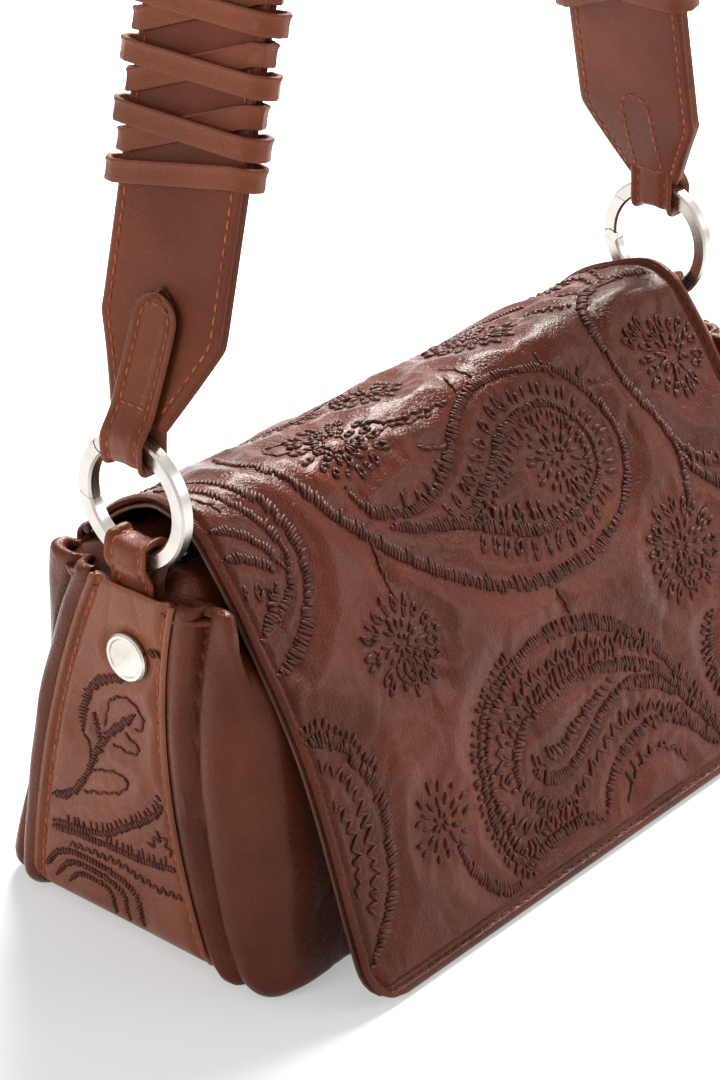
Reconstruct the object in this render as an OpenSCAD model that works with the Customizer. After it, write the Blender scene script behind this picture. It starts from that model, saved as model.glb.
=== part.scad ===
// Baguette shoulder bag in soft padded leather. A long flap folds over its front, one strip runs
// down both ends and under the base, and a wide strap wrapped in flat lace hangs on spring-gate rings.
// The origin is on the floor under the strap line. +X is along the bag, -Y its front and +Z up.

/* [Body] */
// Length over the end panels at the floor
body_length = 239; // [225:1:255]
// Height of the end panels
body_height = 105; // [100:0.5:108]
// How far each end leans in between the floor and the top
end_lean = 4.3; // [2:0.1:6]
// Depth in front of the strap line at the floor, at mid height and at the top
front_depths = [53, 45.5, 30.6]; // [28:0.1:56]
// Depth behind the strap line at the floor, at mid height and at the top
back_depths = [54, 45, 31]; // [28:0.1:56]
// Front seam of the end strip at the floor, at mid height and at the top
strip_front = [32, 14, 17]; // [12:0.1:36]
// Back seam of the end strip at the floor, at mid height and at the top
strip_back = [36, 31, 13]; // [11:0.1:38]
// Thickness of the padded body leather
wall = 2.4; // [1.8:0.1:3]
// Radius of the roll from the ends and faces under the base
base_roll = 8; // [6:0.5:10]
// How far the padded front and back swell between their seams
face_swell = 1.5; // [0:0.1:2]

/* [Flap] */
// Length of the flap over its free ends
flap_length = 208; // [200:1:209]
// Thickness of the flap's leather with its padding
flap_leather = 1.5; // [1:0.1:1.6]
// Thickness of the flap's lining
flap_cloth = 1; // [0.6:0.1:1.1]
// How far the flap's ridge sags at mid length
flap_sag = 4.5; // [0:0.1:5]
// Radius of the flap's lower corners
flap_corner = 13; // [8:0.5:18]
// How much shorter each end of the flap is at its hinge than at its ridge
flap_taper = 4; // [3.5:0.1:6]

/* [Rings] */
// Bore of the rings
ring_bore = 28; // [27:0.1:30]
// Wire of the rings, measured across the ring
ring_wire = 4.5; // [4.2:0.1:4.6]
// Wire of the rings, measured along the ring's axis
ring_width = 4.2; // [4:0.1:4.4]
// Distance of each ring from the middle of the bag
ring_x = 111; // [110:0.1:112]
// Height of the rings' axis
ring_z = 128.3; // [128:0.1:129]
// Width of the leather loops that hold the rings
loop_width = 15; // [12:0.1:15]

/* [Strap] */
// Width of the strap
strap_width = 40; // [34:1:42]
// Thickness of each of the strap's two layers
strap_layer = 1.9; // [1.5:0.1:2]
// Lean of the strap's legs towards each other, in degrees
strap_lean = 13.5; // [12:0.1:15]
// Radius of the strap's top
strap_top = 45; // [40:1:55]
// Height of the corners where the strap starts to narrow
taper_z = 171; // [168:1:176]
// Distance of those corners from the middle of the bag
taper_x = 99; // [98:0.5:100]
// Height of the round end of the tail that is sewn to the outer face
tail_z = 181; // [176:1:190]

/* [Lace] */
// Width of the flat lace
lace_width = 6; // [5:0.1:6.3]
// Thickness of the folded lace
lace_thick = 1.5; // [1:0.1:1.8]
// Rise of the lace in one turn
lace_pitch = 15; // [14.5:0.1:16]
// Turns on the way up each leg
lace_turns = 11; // [4:1:11]
// Height of the lowest crossing
lace_z = 213; // [210:1:220]

/* [Zip] */
// Height of the zip's tapes
zip_z = 106.5; // [106:0.1:107]
// Half the length of the zip
zip_half = 103; // [98:0.5:104]
// Pitch of the teeth
tooth_pitch = 2.5; // [2.4:0.1:4]

/* [Fittings] */
// Diameter of the rivet caps
rivet_d = 13.5; // [11:0.1:15]
// Height of the rivets
rivet_z = 85; // [84:0.5:88]
// Diameter of the magnets under the flap
magnet_d = 14; // [10:0.5:16]
// Height of the magnets
magnet_z = 62; // [58:1:66]

/* [Hidden] */
$fn = 64;
fit = 0.3;            // gap between pieces that move past each other
seat = 0.1;           // gap between pieces sewn or laid together

half_flap = flap_length / 2;
flap_total = flap_leather + flap_cloth + seat;
hinge_y = 29.4;       // axis of the flap, at the back edge of the mouth
hinge_z = 105.4;
welt_r = 1.3;
// Outer line of the closed flap from its hinge over the ridge to its front edge, as [y, z]
flap_line = [
  [28.4, 107.6], [18, 117], [8, 122.3], [-3, 124.9], [-12, 122], [-20, 113.5],
  [-30, 99.5], [-50, 66], [-66, 21], [-73.2, 1]
];
flap_steps = 2;       // points between two points of the flap's line
corner_rows = 4;      // rows round the flap's lower corners

squareness = 0.4;     // exponent of the roll under the base
plan_square = [0.6, 1];       // exponent of the upright corners at the floor and at the top
plan_corner = [13, 10.5];     // reach of the upright corners along the bag at the floor and the top
arc_steps = 5;
face_steps = 14;
roll_angles = [0, 30, 55, 75, 90];
face_rows = 7;
tuck_z = 70;          // the front edge is tucked in under the flap above this height
tuck_depth = 10;
tuck_reach = 28;      // height in which the tuck reaches its depth
board_half = 28;      // half width of the stiffening board
front_dip = 5;        // how far the front edge lies below the ends' tops
back_dip = 1.3;
flap_clear = 2;       // how far past the flap's ends the panels come out and up again
clear_reach = 4;

ring_mid = (ring_bore + ring_wire) / 2;
magnet_tilt = 73;
magnet_sunk = 0.8;    // how deep the lower magnet sits in the front panel
magnet_proud = 1;     // how far its face stands off the panel
magnet_back = 3.6;    // back of the upper magnet, which passes through the flap's lining

pin_r = 0.6;
eye_w = 2;            // width of the gate's eye between the ring's cheeks
cheek_r = ring_wire / 2;
gate_gap = 0.15;
// Each gate: side, polar angle of its hinge from the top towards the back, angle to its catch
gate_left_at = [-1, 35, 65];
gate_right_at = [1, 101, -49];

loop_wall = 2.2;
loop_in = ring_bore / 2 - fit - loop_wall;
loop_side = ring_width / 2 + fit + loop_wall;
loop_out = ring_bore / 2 + ring_wire + fit + 1.7;

strap_foot = ring_z + loop_out + seat;
foot_half = 8.4;      // half width of the strap's narrow end
foot_bend = 5.6;      // extra spread of the strap's foot towards its ring
foot_reach = 30.5;    // height over which the foot bends back to the leg's own lean
foot_steps = 6;
top_steps = 12;
top_centre = taper_z + (taper_x - strap_top * cos(strap_lean)) / tan(strap_lean)
  - strap_top * sin(strap_lean);

lace_gap = 0.5;       // gap between the two layers of lace
lace_lift = [0.2 + lace_thick / 2, 0.2 + 1.5 * lace_thick + lace_gap];
lace_c = strap_width / 2 - 0.8;
edge_angles = [45, 90, 135];

slider_x = -95;
slider_l = 12;
zip_travel = 176;       // the puller then ends short of the right ring
slider_w = 9;
slider_plate = 1.2;   // thickness of its two plates
slider_low = 2.5;     // from the tapes' height down to the underside of its lower plate
tape_thick = 0.6;
tape_edge = 2.4;
tape_width = 7.2;
facing_edge = 6.2;
facing_half = 96.5;
facing_clear = 1.3;     // from the inside of a panel to its facing
lining_clear = 1;       // from the inside of a panel to the lining
facing_thick = 1.3;
facing_top = zip_z + tape_thick / 2 + seat + facing_thick;
tab_end = zip_half - 1.4;     // where the leather end tabs start under the tapes
tab_thick = 1.6;
tab_reach = 3;
puller_l = 20;
puller_z = zip_z + 4;
zip_stop = slider_x + slider_l / 2 + 0.6;
teeth_thick = 2;
teeth_end = slider_x + zip_travel + slider_l / 2 + 0.4;

// Small helpers
function clamp(t) = max(0, min(1, t));
function smooth(t) = let (c = clamp(t)) c * c * (3 - 2 * c);
function mix(a, b, t) = a + (b - a) * t;
function unit(v) = v / norm(v);
function curve3(d, t) = d[0] * (1 - t) * (1 - 2 * t) + 4 * d[1] * t * (1 - t) + d[2] * t * (2 * t - 1);
function flat(rows) = [for (row = rows) each row];

// A drawing in Y and Z, extruded along the bag from x0
module along_x(x0, length) translate([x0, 0, 0]) rotate([90, 0, 90]) linear_extrude(length) children();

// A drawing in X and Z, extruded from the front to the back from y0
module along_y(y0, length) translate([0, y0 + length, 0]) rotate([90, 0, 0]) linear_extrude(length) children();

// The right-hand piece, or its mirror image for the left
module on_side(side) mirror([side < 0 ? 1 : 0, 0, 0]) children();

// Two triangles of the cell at i, j in a grid w points wide that starts at point s
function cell(i, j, w, s, out) =
  let (a = s + i * w + j, b = a + 1, c = a + w, d = c + 1)
  out ? [[a, b, d], [a, d, c]] : [[a, d, b], [a, c, d]];

// Sheet between an outer and an inner grid of points, closed round its rim
module sheet(outer, inner) {
  h = len(outer);
  w = len(outer[0]);
  n = h * w;
  rim = concat(
    [for (j = [0 : w - 2]) j],
    [for (i = [0 : h - 2]) i * w + w - 1],
    [for (j = [w - 1 : -1 : 1]) (h - 1) * w + j],
    [for (i = [h - 1 : -1 : 1]) i * w]
  );
  faces = concat(
    [for (i = [0 : h - 2], j = [0 : w - 2]) each cell(i, j, w, 0, true)],
    [for (i = [0 : h - 2], j = [0 : w - 2]) each cell(i, j, w, n, false)],
    [for (k = [0 : len(rim) - 1])
      let (a = rim[k], b = rim[(k + 1) % len(rim)])
      each [[a, a + n, b], [b, a + n, b + n]]]
  );
  polyhedron(concat(flat(outer), flat(inner)), faces, convexity = 8);
}

// Tube through a list of rings of points, closed at both ends
module tube(rings) {
  m = len(rings[0]);
  n = len(rings);
  sides = [for (i = [0 : n - 2], k = [0 : m - 1])
    let (a = i * m + k, b = i * m + (k + 1) % m)
    each [[a, b, b + m], [a, b + m, a + m]]];
  caps = [[for (k = [m - 1 : -1 : 0]) k], [for (k = [0 : m - 1]) (n - 1) * m + k]];
  polyhedron(flat(rings), concat(sides, caps), convexity = 20);
}

// Shape of the body
function half_length(z) = body_length / 2 - end_lean * (1 - pow(max(0, 1 - z / 80), 2));
function round_end(z, t) =
  let (r = base_roll - t, d = base_roll - z) d > 0 ? r - sqrt(max(0, r * r - d * d)) : 0;
function end_x(z, t) = half_length(z) - t - round_end(z, t);
function seam_y(side, z) = side * curve3(side < 0 ? strip_front : strip_back, z / body_height);
function past_flap(x) = smooth((abs(x) - half_flap - flap_clear) / clear_reach);
function across(x) = clamp(1 - pow(x / half_flap, 2));

// Top edge of the front or back panel
function top_edge(side, x) =
  body_height - (1 - past_flap(x)) * (side < 0 ? front_dip + 0.9 * flap_sag * across(x) : back_dip);

// Outer face of the front or back panel
function face_y(side, x, z) =
  let (
    d = curve3(side < 0 ? front_depths : back_depths, z / body_height),
    tuck = side < 0 ? (1 - past_flap(x)) * tuck_depth * pow(max(0, (z - tuck_z) / tuck_reach), 2) : 0,
    swell = face_swell * across(x) * max(0, sin(180 * z / body_height))
  )
  side * (d - tuck + swell);

// Columns of points round a panel: where along its face, and the angle round its corner
columns = [
  for (i = [0 : arc_steps - 1]) [-1, 90 - 90 * i / arc_steps],
  for (i = [0 : face_steps]) [sin(-90 + 180 * i / face_steps), 0],
  for (i = [arc_steps - 1 : -1 : 0]) [1, 90 - 90 * i / arc_steps]
];

// Rows of points up a panel: the angle round the base, and how far up the face
panel_rows = concat(
  [for (a = roll_angles) [a, 0]],
  [for (i = [1 : face_rows]) [90, i / face_rows]]
);

// Point of a panel's skin at height z, its face brought in by share, inset by t and at its ends by tx
function skin_point(side, col, z, share, t, tx) =
  let (
    k = clamp(z / body_height),
    reach = mix(plan_corner[0], plan_corner[1], k),
    power = mix(plan_square[0], plan_square[1], k),
    straight = end_x(z, tx) - reach,
    x = col[0] * straight + sign(col[0]) * reach * pow(sin(col[1]), power) * (abs(col[0]) == 1 ? 1 : 0),
    seam = seam_y(side, z),
    y = seam + (face_y(side, x, z) - side * t - seam) * share * pow(cos(col[1]), power)
  )
  [x, y, z];

function panel_point(side, col, row, t) =
  let (
    low = t + (base_roll - t) * (1 - pow(cos(row[0]), squareness)),
    x = col[0] * (body_length / 2 - plan_corner[1]) + sign(col[0]) * plan_corner[1] * sin(col[1]),
    z = row[1] == 0 ? low : mix(base_roll, top_edge(side, x), row[1])
  )
  skin_point(side, col, z, pow(sin(row[0]), squareness), t, t);

function panel_skin(side, t) = [for (row = panel_rows) [for (col = columns) panel_point(side, col, row, t)]];

// The front panel has a shallow seat for the lower magnet
module front_panel() color("#5a3428") difference() {
  sheet(panel_skin(-1, 0), panel_skin(-1, wall));
  magnet(-magnet_sunk - seat, 3, magnet_d + 2 * seat);
}

module back_panel() color("#5a3428") sheet(panel_skin(1, wall), panel_skin(1, 0));

// Line of the end strip, up one end
function strip_line(t) = concat(
  [for (a = [-90 : 15 : 0]) [
    half_length(base_roll) - base_roll + (base_roll - t) * cos(a),
    base_roll + (base_roll - t) * sin(a)
  ]],
  [for (z = [15 : 10 : 95]) [half_length(z) - t, z], [half_length(body_height) - t, body_height]]
);
function mirrored(points) = [for (i = [len(points) - 1 : -1 : 0]) [-points[i][0], points[i][1]]];

module gusset_strip() color("#8a5f4e") difference() {
  intersection() {
    along_y(-60, 120) polygon(concat(
      mirrored(strip_line(0)), strip_line(0),
      [for (i = [len(strip_line(wall)) - 1 : -1 : 0]) strip_line(wall)[i]],
      [for (p = strip_line(wall)) [-p[0], p[1]]]
    ));
    along_x(-body_length, 2 * body_length) polygon(concat(
      [for (z = [0 : 5 : body_height]) [seam_y(-1, z) + seat, z]],
      [for (z = [body_height : -5 : 0]) [seam_y(1, z) - seat, z]]
    ));
  }
  for (side = [-1, 1]) on_side(side) rivet_hole(half_length(rivet_z));
}

module base_board() color("#6b6258")
  translate([-body_length / 2 + 14, -board_half, wall + seat]) cube([body_length - 28, 2 * board_half, 1.5]);

// One level of the lining: round the front, then back along the rear
function lining_loop(z, share, t) = concat(
  [for (col = columns) skin_point(-1, col, z, share, wall + lining_clear + t, 9 + t)],
  [for (i = [len(columns) - 1 : -1 : 0]) skin_point(1, columns[i], z, share, wall + lining_clear + t, 9 + t)]
);

module bag_lining() {
  cloth = 0.8;
  levels = [[4.4, 0.84], [8, 0.96], [20, 1], [40, 1], [60, 1], [80, 1], [94, 1]];
  outer = [for (l = levels) lining_loop(l[0], l[1], 0)];
  inner = [for (l = levels) lining_loop(l[0] + (l[0] < 5 ? cloth : 0), l[1], cloth)];
  w = len(outer[0]);
  h = len(levels);
  n = w * h;
  last = (h - 1) * w;
  faces = concat(
    [for (i = [0 : h - 2], j = [0 : w - 1])
      let (a = i * w + j, b = i * w + (j + 1) % w)
      each [[a, b + w, b], [a, a + w, b + w], [a + n, b + n, b + w + n], [a + n, b + w + n, a + w + n]]],
    [for (j = [0 : w - 1])
      let (a = last + j, b = last + (j + 1) % w)
      each [[a, b + n, b], [a, a + n, b + n]]],
    [for (j = [0 : w - 1]) each [[j, (j + 1) % w, 2 * n], [n + (j + 1) % w, n + j, 2 * n + 1]]]
  );
  middle = [[0, 0, levels[0][0]], [0, 0, levels[0][0] + cloth]];
  color("#b9a08a") polyhedron(concat(flat(outer), flat(inner), middle), faces, convexity = 6);
}

// Facing from the top edge of a panel to the zip, level over the last quarter of its width
function facing_point(side, share, t, k) =
  let (
    x = share * facing_half,
    edge = top_edge(side, x) - 1.2,
    y0 = face_y(side, x, edge) - side * (wall + facing_clear),
    y1 = side * facing_edge
  )
  [x, mix(y0, y1, k), mix(edge, facing_top, sin(90 * min(1, k / 0.75))) - t];

function facing_skin(side, t) =
  [for (k = [0 : 0.25 : 1]) [for (i = [0 : face_steps]) facing_point(side, sin(-90 + 180 * i / face_steps), t, k)]];

module mouth_facing_front() color("#5a3428") sheet(facing_skin(-1, 0), facing_skin(-1, facing_thick));

module mouth_facing_back() color("#5a3428") sheet(facing_skin(1, facing_thick), facing_skin(1, 0));

// Piping on the back edge of the mouth, which the flap folds round
module flap_welt() color("#5a3428")
  translate([-half_flap + flap_taper, hinge_y, hinge_z]) rotate([0, 90, 0])
    cylinder(h = flap_length - 2 * flap_taper, r = welt_r);

// Zip
module zip_tape(side) color("#3f2a22") on_y(side)
  translate([-zip_half, tape_edge, zip_z - tape_thick / 2]) cube([2 * zip_half, tape_width, tape_thick]);

module on_y(side) mirror([0, side < 0 ? 1 : 0, 0]) children();

module zip_teeth(side) {
  count = floor((teeth_end - 2 - zip_stop) / tooth_pitch);
  shift = side < 0 ? 0 : tooth_pitch / 2;
  root = 1.6;           // the teeth stand on a bar from here to the tape, and pass the zip's middle line
  past = -0.7;
  color("#9a948a") on_y(side) translate([0, 0, zip_z - teeth_thick / 2]) linear_extrude(teeth_thick) polygon(concat(
    [[zip_stop, tape_edge - seat], [zip_stop, root]],
    [for (i = [0 : count - 1])
      let (x = zip_stop + shift + (i + 0.1) * tooth_pitch)
      each [[x, root], [x + 0.1, past], [x + 0.9, past], [x + 1, root]]],
    [[teeth_end, root], [teeth_end, tape_edge - seat]]
  ));
}

module zip_tape_front() zip_tape(-1);
module zip_tape_back() zip_tape(1);
module zip_teeth_front() zip_teeth(-1);
module zip_teeth_back() zip_teeth(1);

// Leather end tabs under both ends of the zip
module zip_end_tabs() color("#5a3428") for (side = [-1, 1]) on_side(side)
  translate([0, 0, zip_z - tape_thick / 2 - seat - tab_thick]) linear_extrude(tab_thick) {
    translate([tab_end, -tape_edge - tape_width + 0.6]) square([tab_reach, 2 * (tape_edge + tape_width - 0.6)]);
    translate([tab_end + tab_reach, 0]) circle(r = 3);
  }

// Ring loops: leather round the wire of a ring, within half a turn of it
module ring_channel(grow) rotate([0, 90, 0]) rotate_extrude()
  translate([ring_bore / 2 - grow, -ring_width / 2 - grow]) square([ring_wire + 2 * grow, ring_width + 2 * grow]);

module ring_loop(up) {
  r = 1.6;
  intersection() {
    difference() {
      rotate([0, 90, 0]) rotate_extrude() {
        translate([loop_in + r, -loop_side]) square([loop_out - loop_in - r, 2 * loop_side]);
        translate([loop_in, -loop_side + r]) square([r + 1, 2 * loop_side - 2 * r]);
        for (s = [-1, 1]) translate([loop_in + r, s * (loop_side - r)]) circle(r);
      }
      ring_channel(fit);
    }
    translate([-10, -loop_width / 2, up > 0 ? 4 : -40]) cube([20, loop_width, 36]);
  }
}

module rivet_hole(x) translate([x - 14, 0, rivet_z]) rotate([0, 90, 0]) cylinder(h = 20, r = 2);

module ring_tab(side) color("#7d4f3d") on_side(side) difference() {
  union() {
    translate([ring_x, 0, ring_z]) ring_loop(-1);
    difference() {
      union() {
        translate([ring_x - 2.7, -loop_width / 2, rivet_z - 2]) cube([4.4, loop_width, 26]);
        translate([ring_x - 2.7, 0, rivet_z - 2]) rotate([0, 90, 0]) cylinder(h = 4.4, r = loop_width / 2);
      }
      translate([ring_x, 0, ring_z]) ring_channel(fit);
    }
  }
  rivet_hole(half_length(rivet_z));
}

module ring_tab_left() ring_tab(-1);
module ring_tab_right() ring_tab(1);

// Rivets: a low domed cap with its post, and the washer inside
module rivet_cap(side) color("silver") on_side(side)
  translate([half_length(rivet_z) + 0.05, 0, rivet_z]) rotate([0, 90, 0]) {
    rotate_extrude() polygon([
      [0, 0], [rivet_d / 2 - 0.3, 0], [rivet_d / 2, 0.4], [rivet_d / 2, 1.2], [rivet_d / 2 - 0.5, 1.8],
      [rivet_d / 2 - 1.3, 1.8], [rivet_d / 2 - 1.7, 1.5], [0, 1.7]
    ]);
    translate([0, 0, -8]) cylinder(h = 8.5, r = 1.9);
  }

module rivet_back(side) color("silver") on_side(side)
  translate([ring_x - 2.8, 0, rivet_z]) rotate([0, -90, 0]) difference() {
    cylinder(h = 1, r = 4.5);
    translate([0, 0, -1]) cylinder(h = 3, r = 2);
  }

module rivet_cap_left() rivet_cap(-1);
module rivet_cap_right() rivet_cap(1);
module rivet_back_left() rivet_back(-1);
module rivet_back_right() rivet_back(1);

// Magnets under the flap, facing each other square to the gap between front and flap
module magnet(low, high, d) translate([0, face_y(-1, 0, magnet_z), magnet_z]) rotate([magnet_tilt, 0, 0])
  translate([0, 0, low]) cylinder(h = high - low, d = d);

module magnet_lower() color("silver") magnet(-magnet_sunk, magnet_proud, magnet_d);
module magnet_upper() color("silver") magnet(magnet_proud + 0.7, magnet_back, magnet_d);

// Flap: a smooth line through its points, swept along the bag with a sag in its ridge
function spline(p, i, t) =
  let (
    a = p[max(0, i - 1)], b = p[i], c = p[i + 1], d = p[min(len(p) - 1, i + 2)]
  )
  0.5 * (2 * b + (c - a) * t + (2 * a - 5 * b + 4 * c - d) * t * t + (3 * b - a - 3 * c + d) * t * t * t);

flap_front = flap_line[len(flap_line) - 1];
flap_curve = [
  for (i = [0 : len(flap_line) - 3], k = [0 : flap_steps - 1]) spline(flap_line, i, k / flap_steps),
  for (k = [0 : 2 * corner_rows]) spline(flap_line, len(flap_line) - 2, sin(45 * k / corner_rows))
];

function flap_normal(i) =
  let (
    d = unit(flap_curve[min(len(flap_curve) - 1, i + 1)] - flap_curve[max(0, i - 1)])
  )
  [-d[1], d[0]];

// Half length of the flap at a point of its line: shorter at the hinge, round at the lower corners
function flap_half(p) =
  let (
    d = norm(p - flap_front),
    r = flap_corner,
    rear = flap_taper * smooth((p[0] + 6) / 16)
  )
  half_flap - rear - (d < r ? r - sqrt(r * r - (r - d) * (r - d)) : 0);

function flap_point(i, share, t) =
  let (
    p = flap_curve[i] + t * flap_normal(i),
    x = share * (flap_half(flap_curve[i]) - 0.4 * t),
    sag = flap_sag * across(x) * smooth((p[1] - 75) / 45) * smooth((hinge_y - 2 - p[0]) / 16)
  )
  [x, p[0], p[1] - sag];

function flap_skin(t) =
  [for (i = [0 : len(flap_curve) - 1]) [for (k = [0 : face_steps]) flap_point(i, sin(-90 + 180 * k / face_steps), t)]];

module flap_outer() color("#5d3226") sheet(flap_skin(flap_leather), flap_skin(0));

// The lining has a hole for the upper magnet
module flap_lining() color("#6b4636") difference() {
  sheet(flap_skin(flap_total), flap_skin(flap_leather + seat));
  magnet(magnet_proud, magnet_back + 2, magnet_d + 4 * seat);
}

// Rings with spring gates. Drawings on a ring's plane have the bag's Y and Z as their axes
function polar(r, a) = [r * sin(a), r * cos(a)];

module ring_solid() rotate([0, 90, 0]) rotate_extrude() {
  r = ring_bore / 2;
  c = 0.6;
  h = ring_width / 2;
  polygon([
    [r + c, -h], [r + ring_wire - c, -h], [r + ring_wire, c - h], [r + ring_wire, h - c],
    [r + ring_wire - c, h], [r + c, h], [r, h - c], [r, c - h]
  ]);
}

module ring_disc(at, r, w) translate([-w / 2, at[0], at[1]]) rotate([0, 90, 0]) cylinder(h = w, r = r);

// Space of the gate: within reach of its hinge and past the line from the ring's middle to the hinge
module gate_space(g, grow) {
  at = polar(ring_mid, g[1]);
  reach = 2 * ring_mid * sin(abs(g[2]) / 2) + grow;
  turn = sign(g[2]);
  intersection() {
    ring_disc(at, reach, 8);
    along_x(-4, 8) polygon([[0, 0], polar(30, g[1]), polar(42, g[1] + turn * 45), polar(30, g[1] + turn * 90)]);
  }
}

module gate_pin(g) color("silver") translate([g[0] * ring_x, 0, ring_z])
  ring_disc(polar(ring_mid, g[1]), pin_r, ring_width - 0.1);

module ring_body(g) color("silver") translate([g[0] * ring_x, 0, ring_z]) {
  at = polar(ring_mid, g[1]);
  difference() {
    union() {
      difference() {
        ring_solid();
        gate_space(g, gate_gap);
      }
      ring_disc(at, cheek_r, ring_width);
    }
    ring_disc(at, cheek_r + 0.2, eye_w + 0.2);
    ring_disc(at, pin_r, ring_width + 2);
  }
}

module gate(g) color("silver") translate([g[0] * ring_x, 0, ring_z]) {
  at = polar(ring_mid, g[1]);
  difference() {
    union() {
      difference() {
        intersection() {
          ring_solid();
          gate_space(g, 0);
        }
        ring_disc(at, cheek_r + 0.4, ring_width + 2);
      }
      intersection() {
        ring_solid();
        gate_space(g, 0);
        ring_disc(at, cheek_r + 1.6, eye_w);
      }
      ring_disc(at, cheek_r, eye_w);
    }
    ring_disc(at, pin_r + 0.05, ring_width + 2);
  }
}

module ring_left() ring_body(gate_left_at);
module ring_right() ring_body(gate_right_at);
module gate_pin_left() gate_pin(gate_left_at);
module gate_pin_right() gate_pin(gate_right_at);
module gate_left() gate(gate_left_at);
module gate_right() gate(gate_right_at);

// Strap: a line in X and Z up the right leg and over the top, with its outward normal
function leg_x(z) = taper_x - (z - taper_z) * tan(strap_lean)
  + foot_bend * pow(max(0, 1 - (z - ring_z - ring_mid) / foot_reach), 1.5);
foot_top = ring_z + ring_mid + foot_reach;
leg_points = concat(
  [for (k = [0 : foot_steps]) let (z = mix(strap_foot, foot_top, k / foot_steps)) [leg_x(z), z]],
  [for (a = [strap_lean : (90 - strap_lean) / top_steps : 90.01]) [strap_top * cos(a), top_centre + strap_top * sin(a)]]
);

function leg_normal(i) =
  let (
    d = unit(leg_points[min(len(leg_points) - 1, i + 1)] - leg_points[max(0, i - 1)])
  )
  i == len(leg_points) - 1 ? [0, 1] : [d[1], -d[0]];

function leg_offset(t) = [for (i = [0 : len(leg_points) - 1]) leg_points[i] + t * leg_normal(i)];

function arch_band(low, high) =
  let (a = leg_offset(high), b = leg_offset(low), n = len(a) - 2)
  concat(a, [for (i = [n : -1 : 0]) [-a[i][0], a[i][1]]], [for (i = [0 : n]) [-b[i][0], b[i][1]]],
    [for (i = [n + 1 : -1 : 0]) b[i]]);

module strap_outline() polygon([
  [-foot_half, strap_foot], [foot_half, strap_foot], [strap_width / 2, taper_z], [strap_width / 2, 600],
  [-strap_width / 2, 600], [-strap_width / 2, taper_z]
]);

module strap_layer_between(low, high) color("#6f4434") intersection() {
  along_y(-strap_width, 2 * strap_width) polygon(arch_band(low, high));
  along_x(-body_length, 2 * body_length) strap_outline();
}

module strap_outer() strap_layer_between(seat / 2, strap_layer);
module strap_lining() strap_layer_between(-strap_layer, -seat / 2);

// Tail: round the ring and up the outer face of the strap to a round end
module strap_tail(side) color("#4a2c22") on_side(side) union() {
  a = leg_offset(strap_layer + seat);
  b = leg_offset(2 * strap_layer);
  n = foot_steps + 1;
  end = leg_points[foot_steps] + (leg_points[foot_steps + 1] - leg_points[foot_steps]) * 0.1;
  translate([ring_x, 0, ring_z]) ring_loop(1);
  intersection() {
    along_y(-loop_width, 2 * loop_width) polygon(concat(
      [for (i = [0 : n]) a[i]], [for (i = [n : -1 : 0]) b[i]],
      [[ring_x + loop_side - 2.2, ring_z + loop_out - 1.2], [ring_x - 0.5, ring_z + loop_out - 1.2]]
    ));
    along_x(0, body_length) {
      translate([-loop_width / 2, ring_z]) square([loop_width, tail_z - loop_width / 2 - ring_z]);
      translate([0, tail_z - loop_width / 2]) circle(d = loop_width);
    }
  }
}

module strap_tail_left() strap_tail(-1);
module strap_tail_right() strap_tail(1);

// Lace: one flat lace per leg goes up aslant, turns, and comes back down square over itself.
// A stop is [place across the strap, angle round its edge, height, layer, edge side]
function face_stop(w, out, h, layer) = [w * lace_c, out > 0 ? 0 : 180, h, layer, 0];
function edge_stops(w, h, layer) = [for (a = edge_angles) [w * lace_c, w > 0 ? 180 + a : a, h, layer, w]];
function turn(h0, h1, h2, layer0, layer) = [
  face_stop(1, 1, h0, layer0), face_stop(-1, 1, h1, layer), each edge_stops(-1, h1, layer),
  face_stop(-1, -1, h1, layer), face_stop(1, -1, h2, layer), each edge_stops(1, h2, layer)
];

lace_stops = [
  face_stop(0.15, -1, 0, 0), face_stop(1, -1, 0, 0), each edge_stops(1, 0, 0),
  for (i = [0 : lace_turns - 1]) each turn(i, i + 1, i + 1, 0, 0),
  each turn(lace_turns, lace_turns + 0.5, lace_turns - 0.5, 0, 1),
  for (i = [lace_turns - 1 : -1 : 0]) each turn(i + 0.5, i + 0.5, i - 0.5, 1, 1),
  face_stop(1, 1, -0.5, 1), face_stop(-1, 1, 0, 1), each edge_stops(-1, 0, 1),
  face_stop(-1, -1, 0, 1), face_stop(-0.15, -1, 0, 1)
];

leg_up = [-sin(strap_lean), 0, cos(strap_lean)];
leg_out = [cos(strap_lean), 0, sin(strap_lean)];
lace_foot = [leg_x(lace_z), 0, lace_z];

function stop_normal(s) = leg_out * cos(s[1]) + [0, -sin(s[1]), 0];
function stop_point(s) = lace_foot + leg_up * s[2] * lace_pitch + [0, s[0], 0]
  + stop_normal(s) * (strap_layer + lace_lift[s[3]]);

lace_points = [for (s = lace_stops) stop_point(s)];
lace_last = len(lace_points) - 1;

function lace_ring(i) =
  let (
    n = stop_normal(lace_stops[i]),
    b = unit(cross(lace_points[min(lace_last, i + 1)] - lace_points[max(0, i - 1)], n)),
    w = lace_width / 2,
    h = lace_thick / 2,
    e = 0.5
  )
  [for (q = [[-w, 0], [e - w, h], [w - e, h], [w, 0], [w - e, -h], [e - w, -h]])
    lace_points[i] + b * q[0] + n * q[1]];

lace_rings = [for (i = [0 : lace_last]) lace_ring(i)];

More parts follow.
